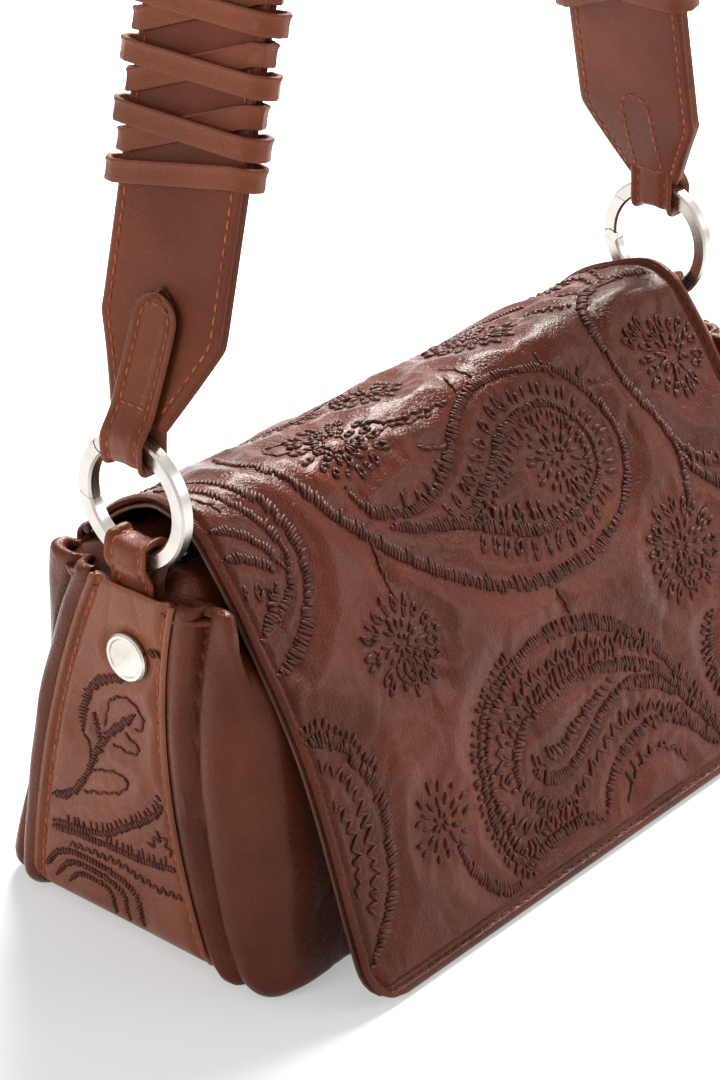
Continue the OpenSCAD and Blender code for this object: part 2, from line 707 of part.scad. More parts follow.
// Least gap of the lace to itself, from its middle points on each flat stretch to the other layer
function between(a, b, k) = a + (b - a) * k;
lace_samples = [for (i = [0 : lace_last - 1], k = [0 : 0.25 : 0.75]) [between(lace_points[i], lace_points[i + 1], k), i]];
function lace_gap_at(i) = min([for (s = lace_samples) if (s[1] > i + 8)
  let (d = s[0] - lace_points[i], n = stop_normal(lace_stops[i]), out = abs(d * n), along = norm(d - (d * n) * n))
  max(out - lace_thick, along - 1.07 * lace_width)]);
echo(lace_loops = 2 * lace_turns + 2,  // strap_lace_left
    lace_least_gap = min([for (i = [0 : lace_last - 12]) lace_gap_at(i)]));

module strap_lace(side) color("#7a4a38") on_side(side) tube(lace_rings);

module strap_lace_left() strap_lace(-1);
module strap_lace_right() strap_lace(1);

// Slider of the zip, closed at the left end, with slots for the tapes at its sides
module zip_slider() color("silver") {
  translate([slider_x, 0, 0]) {
    for (z = [-slider_low, slider_low - slider_plate])
      translate([0, 0, zip_z + z]) linear_extrude(slider_plate) slider_outline();
    translate([-slider_l / 2 + 2, 0, zip_z - 1.8]) cylinder(h = 3.6, r = 1.2);
    difference() {
      translate([-3.2, -1, zip_z + 2.2]) cube([6.4, 2, 3]);
      translate([0, 3, puller_z]) rotate([90, 0, 0]) cylinder(h = 6, r = 0.75);
    }
  }
}

module slider_outline() {
  polygon([
    [-slider_l / 2 + 1, -slider_w / 2], [0, -slider_w / 2], [slider_l / 2, -slider_w / 2 + 1.6],
    [slider_l / 2, slider_w / 2 - 1.6], [0, slider_w / 2], [-slider_l / 2 + 1, slider_w / 2],
    [-slider_l / 2, 2.5], [-slider_l / 2, -2.5]
  ]);
}

// Puller: two arms on a cross pin in the slider's crown, and a flat tongue
module zip_puller() color("silver") translate([slider_x, 0, puller_z]) {
  rotate([90, 0, 0]) cylinder(h = 4.4, r = 0.7, center = true);
  difference() {
    translate([-0.7, -2.6, -0.6]) cube([puller_l, 5.2, 1.2]);
    translate([-2, -1.2, -2]) cube([6.2, 2.4, 4]);
    translate([puller_l - 4, 0, -2]) cylinder(h = 4, r = 1.2);
  }
}

gusset_strip();
front_panel();
back_panel();
base_board();
bag_lining();
mouth_facing_front();
mouth_facing_back();
flap_welt();
zip_tape_front();
zip_tape_back();
zip_teeth_front();
zip_teeth_back();
zip_end_tabs();
ring_tab_left();
ring_tab_right();
rivet_cap_left();
rivet_cap_right();
rivet_back_left();
rivet_back_right();
magnet_lower();
flap_outer();
flap_lining();
magnet_upper();
ring_left();
ring_right();
gate_pin_left();
gate_pin_right();
gate_left();
gate_right();
strap_outer();
strap_lining();
strap_tail_left();
strap_tail_right();
strap_lace_left();
strap_lace_right();
zip_slider();
zip_puller();
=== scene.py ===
import math

import bpy
import numpy as np
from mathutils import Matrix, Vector, noise
from mathutils.bvhtree import BVHTree
from mathutils.kdtree import KDTree


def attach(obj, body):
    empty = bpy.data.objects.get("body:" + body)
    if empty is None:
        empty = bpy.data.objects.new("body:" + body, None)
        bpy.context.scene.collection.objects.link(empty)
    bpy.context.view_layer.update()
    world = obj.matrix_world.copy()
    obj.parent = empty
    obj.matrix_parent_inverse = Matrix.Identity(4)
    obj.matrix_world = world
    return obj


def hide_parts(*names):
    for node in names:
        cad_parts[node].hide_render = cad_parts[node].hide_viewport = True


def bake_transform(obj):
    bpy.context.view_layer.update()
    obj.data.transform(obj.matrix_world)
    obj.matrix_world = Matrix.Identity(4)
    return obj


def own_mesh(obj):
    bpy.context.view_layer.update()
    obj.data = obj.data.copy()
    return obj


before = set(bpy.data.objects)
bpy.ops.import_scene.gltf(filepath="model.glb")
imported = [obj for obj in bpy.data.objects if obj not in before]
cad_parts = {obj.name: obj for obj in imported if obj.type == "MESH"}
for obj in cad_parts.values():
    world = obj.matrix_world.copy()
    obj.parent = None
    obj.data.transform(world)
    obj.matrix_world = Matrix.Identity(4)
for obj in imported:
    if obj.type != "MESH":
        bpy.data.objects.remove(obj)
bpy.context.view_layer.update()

# Soft leather baguette bag: padded and embroidered body and flap, laced strap on ring clips.
# Shapes are worked out in millimetres and become metres when their points are written.
mm = 0.001


# Small tools

def smoothStep(t):
    t = np.clip(t, 0, 1)
    return t * t * (3 - 2 * t)


def mix(a, b, t):
    return a + (b - a) * t


def bump(t):
    # A soft hill that is 1 at t = 0 and fades out past 1
    return np.exp(-t * t)


def curveThrough(three, t):
    a, b, c = three
    return a * (1 - t) * (1 - 2 * t) + 4 * b * t * (1 - t) + c * t * (2 * t - 1)


def stackXyz(x, y, z):
    return np.stack(np.broadcast_arrays(x, y, z), axis=-1).astype(float)


def unitRows(v):
    return v / np.maximum(np.linalg.norm(v, axis=-1, keepdims=True), 1e-9)


def gridNormals(p):
    return unitRows(np.cross(np.gradient(p, axis=1), np.gradient(p, axis=0)))


def softNoise(p, size, seed=0.0):
    # Smooth noise from -1 to 1 with features of about this size in millimetres
    flat = p.reshape(-1, 3) / size + seed
    return np.array([noise.noise(q) for q in flat]).reshape(p.shape[:-1])


def creaseLines(p, size, seed, sharp=0.07):
    # Thin broken lines, 1 on a crease and 0 away from it
    return bump(softNoise(p, size, seed) / sharp) * smoothStep(softNoise(p, size * 2.3, seed + 31) * 3 + 0.3)


def catmullRom(points, steps):
    p = np.array(points, float)
    p = np.vstack([2 * p[0] - p[1], p, 2 * p[-1] - p[-2]])
    t = np.linspace(0, 1, steps, endpoint=False)[:, None]
    parts = []
    for i in range(1, len(p) - 2):
        a, b, c, d = p[i - 1], p[i], p[i + 1], p[i + 2]
        parts.append(0.5 * (2 * b + (c - a) * t + (2 * a - 5 * b + 4 * c - d) * t ** 2
                            + (3 * b - a - 3 * c + d) * t ** 3))
    return np.vstack(parts + [p[-2:-1]])


def runLength(points):
    steps = np.linalg.norm(np.diff(points, axis=0), axis=1)
    return np.concatenate([[0], np.cumsum(steps)])


def alongLine(line, lengths, d):
    return np.stack([np.interp(d, lengths, line[:, k]) for k in range(line.shape[1])], axis=-1)


def headingAt(line, lengths, d, step=0.5):
    ahead = alongLine(line, lengths, np.minimum(d + step, lengths[-1]))
    return unitRows(ahead - alongLine(line, lengths, np.maximum(d - step, 0)))


def deselectAll():
    if bpy.context.object and bpy.context.object.mode != "OBJECT":
        bpy.ops.object.mode_set(mode="OBJECT")
    bpy.ops.object.select_all(action="DESELECT")


def meshPoints(mesh):
    flat = np.empty(len(mesh.vertices) * 3)
    mesh.vertices.foreach_get("co", flat)
    return flat.reshape(-1, 3)


def applyModifier(piece, kind, **values):
    modifier = piece.modifiers.new(kind.title(), kind)
    for key, value in values.items():
        setattr(modifier, key, value)
    bpy.context.view_layer.objects.active = piece
    bpy.ops.object.modifier_apply(modifier=modifier.name)


def gridPiece(name, acrossCount, upCount, place, flip=False):
    # A grid is added and every crossing goes where place(u, v) says, in millimetres
    deselectAll()
    bpy.ops.mesh.primitive_grid_add(x_subdivisions=acrossCount, y_subdivisions=upCount, size=1)
    piece = bpy.context.object
    piece.name = piece.data.name = name
    flat = np.round(meshPoints(piece.data), 6)
    order = np.lexsort((flat[:, 0], flat[:, 1]))
    across = len(np.unique(flat[:, 0]))
    u = flat[order, 0].reshape(-1, across) + 0.5
    v = flat[order, 1].reshape(-1, across) + 0.5
    placed = place(u, v)
    target = np.empty_like(flat)
    target[order] = placed.reshape(-1, 3) * mm
    piece.data.vertices.foreach_set("co", target.ravel())
    if flip:
        bpy.ops.object.mode_set(mode="EDIT")
        bpy.ops.mesh.select_all(action="SELECT")
        bpy.ops.mesh.flip_normals()
        bpy.ops.object.mode_set(mode="OBJECT")
    piece.data.update()
    return piece


def thicken(piece, thickness, rounding=0.0, segments=2):
    applyModifier(piece, "SOLIDIFY", thickness=thickness * mm, offset=-1, use_even_offset=False)
    if rounding:
        applyModifier(piece, "BEVEL", width=rounding * mm, segments=segments,
                      limit_method="ANGLE", angle_limit=math.radians(50))
    return smoothFaces(piece)


def smoothFaces(piece, angle=45):
    deselectAll()
    piece.select_set(True)
    bpy.context.view_layer.objects.active = piece
    bpy.ops.object.shade_smooth_by_angle(angle=math.radians(angle))
    return piece


def finishPiece(piece, material, body="root", nodes=()):
    piece.data.materials.clear()
    piece.data.materials.append(material)
    if body:
        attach(piece, body)
    if nodes:
        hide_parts(*nodes)
    return piece


# Camera, floor and light

cameraSetup = {
    "place": (-0.6281, -0.5165, 0.5044),
    "turn": (62, 0, -49.45),
    "lens": 72.8,
    "film": 24,
}


def addCamera():
    data = bpy.data.cameras.new("camera")
    data.sensor_fit = "VERTICAL"
    data.sensor_height = cameraSetup["film"]
    data.lens = cameraSetup["lens"]
    camera = bpy.data.objects.new("camera", data)
    camera.location = cameraSetup["place"]
    camera.rotation_euler = [math.radians(a) for a in cameraSetup["turn"]]
    bpy.context.collection.objects.link(camera)
    bpy.context.scene.camera = camera
    print("camera set")


lightSetup = {
    # name: place, aim, width, height, watts
    "ridge_light": ((1.15, 0.45, 1.3), (0, 0, 0.12), 1.05, 0.7, 112),
    "end_light": ((-1.7, 0.35, 0.7), (0, 0, 0.06), 0.8, 0.8, 13),
    "front_fill": ((1.05, -1.35, 0.8), (0, 0, 0.08), 0.8, 0.5, 8),
}
studio = {"floorColour": 0.9, "floorGlow": 0.97, "floorGlowShare": 0.4, "worldLight": 0.46}


def addLights():
    for name, (place, aim, width, height, watts) in lightSetup.items():
        data = bpy.data.lights.new(name, "AREA")
        data.shape = "RECTANGLE"
        data.size = width
        data.size_y = height
        data.energy = watts
        lamp = bpy.data.objects.new(name, data)
        lamp.location = place
        lamp.rotation_euler = (Vector(place) - Vector(aim)).to_track_quat("Z", "Y").to_euler()
        bpy.context.collection.objects.link(lamp)
    print("lights set")


def seenDirectly(tree):
    # 1 for the camera and for what shows in metal or through glass
    path = tree.nodes.new("ShaderNodeLightPath")
    first = tree.nodes.new("ShaderNodeMath")
    first.operation = "MAXIMUM"
    tree.links.new(path.outputs["Is Camera Ray"], first.inputs[0])
    tree.links.new(path.outputs["Is Glossy Ray"], first.inputs[1])
    second = tree.nodes.new("ShaderNodeMath")
    second.operation = "MAXIMUM"
    tree.links.new(first.outputs[0], second.inputs[0])
    tree.links.new(path.outputs["Is Transmission Ray"], second.inputs[1])
    return second.outputs[0]


def addStudio():
    world = bpy.data.worlds.new("studio")
    bpy.context.scene.world = world
    world.use_nodes = True
    tree = world.node_tree
    background = tree.nodes["Background"]
    background.inputs["Color"].default_value = (1, 1, 1, 1)
    strength = tree.nodes.new("ShaderNodeMapRange")
    tree.links.new(seenDirectly(tree), strength.inputs["Value"])
    strength.inputs["To Min"].default_value = studio["worldLight"]
    strength.inputs["To Max"].default_value = 1.0
    tree.links.new(strength.outputs[0], background.inputs["Strength"])

    bpy.ops.mesh.primitive_plane_add(size=12)
    floor = bpy.context.object
    floor.name = "floor"
    material = bpy.data.materials.new("floor_paper")
    material.use_nodes = True
    tree = material.node_tree
    paper = tree.nodes["Principled BSDF"]
    grey = studio["floorColour"]
    paper.inputs["Base Color"].default_value = (grey, grey, grey, 1)
    paper.inputs["Roughness"].default_value = 0.9
    paper.inputs["Specular IOR Level"].default_value = 0.1
    glow = tree.nodes.new("ShaderNodeEmission")
    glow.inputs["Strength"].default_value = studio["floorGlow"]
    share = tree.nodes.new("ShaderNodeMath")
    share.operation = "MULTIPLY"
    share.inputs[1].default_value = studio["floorGlowShare"]
    tree.links.new(seenDirectly(tree), share.inputs[0])
    blend = tree.nodes.new("ShaderNodeMixShader")
    tree.links.new(share.outputs[0], blend.inputs["Fac"])
    tree.links.new(paper.outputs[0], blend.inputs[1])
    tree.links.new(glow.outputs[0], blend.inputs[2])
    tree.links.new(blend.outputs[0], tree.nodes["Material Output"].inputs["Surface"])
    floor.data.materials.append(material)
    bpy.context.scene.view_settings.view_transform = "Standard"
    print("floor and background set")


# Materials

def linearColour(red, green, blue):
    return tuple(c / 12.92 if c <= 0.04045 else ((c + 0.055) / 1.055) ** 2.4
                 for c in (red / 255, green / 255, blue / 255)) + (1.0,)


def newMaterial(name):
    material = bpy.data.materials.new(name)
    material.use_nodes = True
    tree = material.node_tree
    return material, tree, tree.nodes["Principled BSDF"]


def addNode(tree, kind, inputs=None, **values):
    node = tree.nodes.new(kind)
    for key, value in values.items():
        setattr(node, key, value)
    for key, value in (inputs or {}).items():
        if hasattr(value, "links"):
            tree.links.new(value, node.inputs[key])
        else:
            node.inputs[key].default_value = value
    return node


def twoTones(tree, shader, factor, light, dark, spread=(0.0, 1.0)):
    tone = addNode(tree, "ShaderNodeValToRGB", {"Fac": factor})
    for stop, place, colour in zip(tone.color_ramp.elements, spread, (dark, light)):
        stop.position = place
        stop.color = linearColour(*colour)
    tree.links.new(tone.outputs["Color"], shader.inputs["Base Color"])


def objectPlace(tree, stretch=(1, 1, 1)):
    place = addNode(tree, "ShaderNodeTexCoord")
    if stretch == (1, 1, 1):
        return place.outputs["Object"]
    return addNode(tree, "ShaderNodeMapping", {"Vector": place.outputs["Object"], "Scale": stretch}).outputs[0]


def leatherMaterial(name, light, dark, grain=1.3, rough=(0.2, 0.36), grainDepth=0.14, crease=0.42, shine=0.13):
    # Colour drifts softly between two tones, fine pebbles and shallow creases catch the light
    material, tree, shader = newMaterial(name)
    place = objectPlace(tree)
    drift = addNode(tree, "ShaderNodeTexNoise", {"Vector": place, "Scale": 28.0, "Detail": 4.0, "Roughness": 0.55})
    twoTones(tree, shader, drift.outputs["Fac"], light, dark, (0.32, 0.68))
    gloss = addNode(tree, "ShaderNodeTexNoise", {"Vector": place, "Scale": 70.0, "Detail": 3.0})
    spread = addNode(tree, "ShaderNodeMapRange", {"Value": gloss.outputs["Fac"], "From Min": 0.3, "From Max": 0.7,
                                                  "To Min": rough[0], "To Max": rough[1]})
    tree.links.new(spread.outputs[0], shader.inputs["Roughness"])
    pebble = addNode(tree, "ShaderNodeTexVoronoi", {"Vector": place, "Scale": 1000.0 / grain},
                     feature="DISTANCE_TO_EDGE")
    pebbleTop = addNode(tree, "ShaderNodeMapRange", {"Value": pebble.outputs["Distance"], "From Min": 0.0,
                                                     "From Max": 0.25, "To Min": 0.0, "To Max": 1.0})
    first = addNode(tree, "ShaderNodeBump", {"Strength": 0.5, "Distance": grainDepth * mm,
                                             "Height": pebbleTop.outputs[0]})
    lines = addNode(tree, "ShaderNodeTexNoise", {"Vector": place, "Scale": 420.0, "Detail": 6.0, "Roughness": 0.62,
                                                 "Distortion": 1.2})
    second = addNode(tree, "ShaderNodeBump", {"Strength": 0.6, "Distance": crease * mm,
                                              "Height": lines.outputs["Fac"], "Normal": first.outputs[0]})
    tree.links.new(second.outputs[0], shader.inputs["Normal"])
    shader.inputs["Specular IOR Level"].default_value = shine
    shader.inputs["Specular Tint"].default_value = (1.0, 0.74, 0.62, 1.0)
    shader.inputs["Coat Weight"].default_value = 0.07
    shader.inputs["Coat Roughness"].default_value = 0.18
    return material


def threadMaterial(name, light, dark, rough=0.55):
    material, tree, shader = newMaterial(name)
    place = objectPlace(tree)
    drift = addNode(tree, "ShaderNodeTexNoise", {"Vector": place, "Scale": 260.0, "Detail": 2.0})
    twoTones(tree, shader, drift.outputs["Fac"], light, dark, (0.35, 0.65))
    twist = addNode(tree, "ShaderNodeTexNoise", {"Vector": place, "Scale": 1800.0, "Detail": 2.0})
    bumps = addNode(tree, "ShaderNodeBump", {"Strength": 0.7, "Distance": 0.15 * mm, "Height": twist.outputs["Fac"]})
    tree.links.new(bumps.outputs[0], shader.inputs["Normal"])
    shader.inputs["Roughness"].default_value = rough
    shader.inputs["Specular IOR Level"].default_value = 0.25
    shader.inputs["Specular Tint"].default_value = (1.0, 0.72, 0.6, 1.0)
    return material


def clothMaterial(name, light, dark, pitch=0.7):
    # Plain weave from two crossing waves
    material, tree, shader = newMaterial(name)
    place = objectPlace(tree)
    warp = addNode(tree, "ShaderNodeTexWave", {"Vector": place, "Scale": 1000.0 / pitch / 6.28, "Distortion": 0.6},
                   bands_direction="X")
    weft = addNode(tree, "ShaderNodeTexWave", {"Vector": place, "Scale": 1000.0 / pitch / 6.28, "Distortion": 0.6},
                   bands_direction="Z")
    both = addNode(tree, "ShaderNodeMath", {0: warp.outputs["Fac"], 1: weft.outputs["Fac"]}, operation="MULTIPLY")
    twoTones(tree, shader, both.outputs[0], light, dark)
    bumps = addNode(tree, "ShaderNodeBump", {"Strength": 0.6, "Distance": 0.15 * mm, "Height": both.outputs[0]})
    tree.links.new(bumps.outputs[0], shader.inputs["Normal"])
    shader.inputs["Roughness"].default_value = 0.85
    shader.inputs["Sheen Weight"].default_value = 0.2
    return material


def nickelMaterial(name, light, dark, rough=(0.2, 0.34), centre=None):
    # Satin nickel with fine brush lines round the ring's axis
    material, tree, shader = newMaterial(name)
    place = objectPlace(tree)
    if centre:
        shifted = addNode(tree, "ShaderNodeVectorMath", {0: place, 1: centre}, operation="SUBTRACT")
        apart = addNode(tree, "ShaderNodeSeparateXYZ", {0: shifted.outputs[0]})
        flatPart = addNode(tree, "ShaderNodeCombineXYZ", {"X": 0.0, "Y": apart.outputs["Y"], "Z": apart.outputs["Z"]})
        radius = addNode(tree, "ShaderNodeVectorMath", {0: flatPart.outputs[0]}, operation="LENGTH")
        place = addNode(tree, "ShaderNodeCombineXYZ", {"X": apart.outputs["X"], "Y": radius.outputs["Value"],
                                                       "Z": 0.0}).outputs[0]
    brush = addNode(tree, "ShaderNodeTexNoise", {"Vector": place, "Scale": 2600.0, "Detail": 3.0, "Roughness": 0.6})
    cloud = addNode(tree, "ShaderNodeTexNoise", {"Vector": objectPlace(tree), "Scale": 120.0, "Detail": 4.0})
    twoTones(tree, shader, cloud.outputs["Fac"], light, dark, (0.3, 0.7))
    spread = addNode(tree, "ShaderNodeMapRange", {"Value": brush.outputs["Fac"], "To Min": rough[0],
                                                  "To Max": rough[1]})
    tree.links.new(spread.outputs[0], shader.inputs["Roughness"])
    bumps = addNode(tree, "ShaderNodeBump", {"Strength": 0.25, "Distance": 0.02 * mm, "Height": brush.outputs["Fac"]})
    tree.links.new(bumps.outputs[0], shader.inputs["Normal"])
    shader.inputs["Metallic"].default_value = 1.0
    return material


finishes = {
    "body": ((92, 44, 28), (68, 31, 19)),
    "strip": ((124, 72, 52), (102, 57, 41)),
    "flap": ((94, 42, 26), (70, 30, 18)),
    "strap": ((106, 54, 36), (86, 42, 27)),
    "lace": ((120, 64, 44), (98, 51, 34)),
    "tail": ((114, 60, 40), (92, 47, 31)),
    "edgeThread": ((168, 88, 52), (132, 66, 38)),
    "silkThread": ((84, 36, 27), (50, 21, 16)),
    "lining": ((150, 126, 104), (120, 98, 78)),
    "flapLining": ((94, 60, 48), (76, 46, 38)),
    "zipTape": ((62, 42, 34), (44, 30, 25)),
    "nickel": ((208, 203, 195), (186, 180, 172)),
    "ringNickel": ((204, 199, 192), (182, 177, 170)),
    "board": ((120, 104, 86), (92, 78, 62)),
}


def makeMaterials():
    made = {
        "body": leatherMaterial("body_leather", *finishes["body"]),
        "strip": leatherMaterial("end_leather", *finishes["strip"], grain=0.9),
        "flap": leatherMaterial("flap_leather", *finishes["flap"]),
        "strap": leatherMaterial("strap_leather", *finishes["strap"], grain=0.8, rough=(0.38, 0.52)),
        "lace": leatherMaterial("lace_leather", *finishes["lace"], grain=0.8, rough=(0.32, 0.46)),
        "tail": leatherMaterial("tail_leather", *finishes["tail"], grain=0.8),
        "edgeThread": threadMaterial("edge_thread", *finishes["edgeThread"]),
        "silkThread": threadMaterial("embroidery_thread", *finishes["silkThread"], rough=0.45),
        "lining": clothMaterial("lining_cloth", *finishes["lining"]),
        "flapLining": leatherMaterial("flap_facing_leather", *finishes["flapLining"], grain=0.8),
        "zipTape": clothMaterial("zip_cloth", *finishes["zipTape"], pitch=0.9),
        "nickel": nickelMaterial("satin_nickel", *finishes["nickel"]),
        "ringNickel": nickelMaterial("ring_nickel", *finishes["ringNickel"], centre=(0, 0, 0.1283)),
        "board": leatherMaterial("board_fibre", *finishes["board"], grain=0.5),
    }
    print("materials made")
    return made


# Stitches: one thread is modelled and copied along every seam and motif

def threadShape():
    deselectAll()
    bpy.ops.mesh.primitive_uv_sphere_add(segments=6, ring_count=4, radius=0.5, rotation=(0, math.pi / 2, 0))
    bpy.ops.object.transform_apply(location=True, rotation=True, scale=True)
    shape = bpy.context.object
    points = meshPoints(shape.data)
    points[:, 0] = np.sign(points[:, 0]) * np.abs(2 * points[:, 0]) ** 0.6 / 2
    faces = [list(face.vertices) for face in shape.data.polygons]
    bpy.data.objects.remove(shape, do_unlink=True)
    return points, faces


oneThread = threadShape()


def sewOn(name, starts, ends, widths, heights, carrier, lift=0.0):
    # Lays a thread from each start to each end, both snapped to the carrier's face, in millimetres
    tree = BVHTree.FromPolygons([v.co for v in carrier.data.vertices], [f.vertices for f in carrier.data.polygons])

    def snapped(points):
        found = [tree.find_nearest(Vector(q) * mm)[:2] for q in points]
        return np.array([f[0] for f in found]) / mm, np.array([f[1] for f in found])

    a, _ = snapped(starts)
    b, _ = snapped(ends)
    middle, up = snapped((starts + ends) / 2)
    length = np.linalg.norm(b - a, axis=1)
    along = unitRows(b - a)
    up = unitRows(up - along * np.sum(up * along, axis=1, keepdims=True))
    side = np.cross(up, along)
    shape, faces = oneThread
    sag = np.sum((middle - (a + b) / 2) * up, axis=1)
    x, y, z = shape[:, 0], shape[:, 1], shape[:, 2]
    bow = 1 - 4 * x * x
    centre = (a + b) / 2 + up * lift
    points = centre[:, None] + along[:, None] * (x[None, :] * length[:, None])[..., None] \
        + side[:, None] * (y[None, :] * widths[:, None])[..., None] \
        + up[:, None] * (z[None, :] * heights[:, None] + bow[None, :] * (sag + 0.2 * heights)[:, None])[..., None]
    count, size = points.shape[:2]
    allFaces = [[i + k * size for i in face] for k in range(count) for face in faces]
    mesh = bpy.data.meshes.new(name)
    mesh.from_pydata((points.reshape(-1, 3) * mm).tolist(), [], allFaces)
    mesh.polygons.foreach_set("use_smooth", [True] * len(mesh.polygons))
    mesh.update()
    piece = bpy.data.objects.new(name, mesh)
    bpy.context.collection.objects.link(piece)
    return piece


def seamStitches(points, stitch=2.5, gap=0.9):
    # Starts and ends of a row of stitches along a line of points
    points = np.asarray(points, float)
    run = runLength(points)
    count = int(run[-1] // (stitch + gap))
    pitch = run[-1] / max(count, 1)
    start = (np.arange(count) + 0.5) * pitch - stitch / 2
    return alongLine(points, run, start), alongLine(points, run, start + stitch)


def sewSeams(name, rows, carrier, material, body, width=0.75, height=0.6, stitch=2.5, gap=0.9, blend=None):
    pairs = [seamStitches(row, stitch, gap) for row in rows]
    starts = np.vstack([q[0] for q in pairs])
    ends = np.vstack([q[1] for q in pairs])
    size = np.ones(len(starts))
    piece = sewOn(name, starts, ends, size * width, size * height, carrier)
    finishPiece(piece, material, body=None if blend else body)
    if blend:
        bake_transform(piece)
    return piece


# Embroidery motifs, drawn flat in millimetres

embroideryLook = {"pitch": 1.12, "thread": 1.0, "height": 0.85, "wander": 0.12, "bold": 1.3}


def satinBand(sewn, points, width, taper=(5, 5), slant=0.35, seed=1):
    draw = np.random.default_rng(seed)
    line = catmullRom(points, 14)
    run = runLength(line)
    s = np.arange(0.5, run[-1], embroideryLook["pitch"])
    c = alongLine(line, run, s)
    t = headingAt(line, run, s)
    n = np.stack([-t[:, 1], t[:, 0]], axis=1)
    half = width / 2 * np.sqrt(np.clip(s / taper[0], 0.1, 1) * np.clip((run[-1] - s) / taper[1], 0.1, 1))
    half = half * (1 + draw.uniform(-0.12, 0.12, len(s)))
    reach = n * half[:, None] + t * (half * slant)[:, None]
    for a, b in zip(c - reach, c + reach):
        sewn.append((*a, *b, embroideryLook["thread"]))


def chainLine(sewn, points, step=2.4, thread=0.85, seed=2):
    draw = np.random.default_rng(seed)
    line = catmullRom(points, 14)
    run = runLength(line)
    s = np.arange(0, run[-1] - step * 0.5, step)
    a = alongLine(line, run, s)
    b = alongLine(line, run, s + step * 1.15)
    for i in range(len(s)):
        t = unitRows(b[i] - a[i])
        n = np.array([-t[1], t[0]]) * (0.28 if i % 2 else -0.28)
        wobble = draw.uniform(-embroideryLook["wander"], embroideryLook["wander"], 2)
        sewn.append((*(a[i] + n), *(b[i] - n + wobble), thread))


def leafRow(sewn, points, away, reach, pitch, inset=1.5, lean=0.0, seed=3, ends=(0.0, 1.0)):
    # Loops of thread that stand off a line towards its left (away 1) or right (away -1)
    draw = np.random.default_rng(seed)
    line = catmullRom(points, 14)
    run = runLength(line)
    for s in np.arange(run[-1] * ends[0], run[-1] * ends[1], pitch):
        c = alongLine(line, run, s)
        t = headingAt(line, run, s)
        n = np.array([-t[1], t[0]]) * away + t * (lean + draw.uniform(-0.12, 0.12))
        n = unitRows(n)
        long = reach * draw.uniform(0.85, 1.1)
        side = np.array([-n[1], n[0]])
        foot = c + n * inset
        tip = c + n * (inset + long)
        middle = c + n * (inset + long * 0.55)
        sewn.append((*foot, *(middle + side * 0.55), 0.8))
        sewn.append((*foot, *(middle - side * 0.55), 0.8))
        sewn.append((*(middle + side * 0.5), *tip, 0.85))
        sewn.append((*(middle - side * 0.5), *tip, 0.85))


def spikeRow(sewn, points, away, reach, pitch, inset=1.2, thread=1.15, lean=0.0, seed=4, ends=(0.0, 1.0)):
    draw = np.random.default_rng(seed)
    line = catmullRom(points, 14)
    run = runLength(line)
    for s in np.arange(run[-1] * ends[0], run[-1] * ends[1], pitch):
        c = alongLine(line, run, s)
        t = headingAt(line, run, s)
        n = unitRows(np.array([-t[1], t[0]]) * away + t * (lean + draw.uniform(-0.2, 0.2)))
        long = reach * draw.uniform(0.7, 1.15)
        sewn.append((*(c + n * inset), *(c + n * (inset + long)), thread * draw.uniform(0.85, 1.1)))


def daisy(sewn, centre, rings, core=0.0, seed=5, squeeze=1.0):
    # Rings of petals: each ring has an inner radius, an outer radius, a count and a thread width
    draw = np.random.default_rng(seed)
    centre = np.array(centre, float)
    for inner, outer, count, thread in rings:
        shift = draw.uniform(0, 6.28)
        for k in range(count):
            a = shift + (k + draw.uniform(-0.2, 0.2)) * 2 * math.pi / count
            out = np.array([math.cos(a), math.sin(a) * squeeze])
            low = inner * draw.uniform(0.9, 1.1)
            high = outer * draw.uniform(0.86, 1.1)
            if outer - inner > 4.5:
                side = np.array([-out[1], out[0]])
                middle = centre + out * (low + high) / 2
                sewn.append((*(centre + out * low), *(middle + side * 0.6), thread * 0.85))
                sewn.append((*(centre + out * low), *(middle - side * 0.6), thread * 0.85))
                sewn.append((*(middle + side * 0.5), *(centre + out * high), thread))
                sewn.append((*(middle - side * 0.5), *(centre + out * high), thread))
            else:
                sewn.append((*(centre + out * low), *(centre + out * high), thread))
    if core:
        turns = np.linspace(0, 2 * math.pi, 9)
        chainLine(sewn, [(centre[0] + core * math.cos(a), centre[1] + core * math.sin(a) * squeeze) for a in turns],
                  step=1.6, seed=seed + 1)


def zigzagLine(sewn, points, reach, pitch, thread=0.9, seed=6):
    draw = np.random.default_rng(seed)
    line = catmullRom(points, 14)
    run = runLength(line)
    corners = []
    for i, s in enumerate(np.arange(0, run[-1], pitch)):
        c = alongLine(line, run, s)
        t = headingAt(line, run, s)
        n = np.array([-t[1], t[0]])
        corners.append(c + n * reach * (0.5 if i % 2 else -0.5) * draw.uniform(0.8, 1.15))
    for a, b in zip(corners[:-1], corners[1:]):
        sewn.append((*a, *b, thread))


def stitchTree(sewn):
    middles = np.vstack([sewn[:, 0:2], sewn[:, 2:4], (sewn[:, 0:2] + sewn[:, 2:4]) / 2])
    tree = KDTree(len(middles))
    for i, (x, d) in enumerate(middles):
        tree.insert((x, d, 0), i)
    tree.balance()
    return tree


quilting = {"puff": 1.3, "press": 0.4, "spread": 7.5, "fine": 0.24, "broad": 0.7, "crease": 0.34}


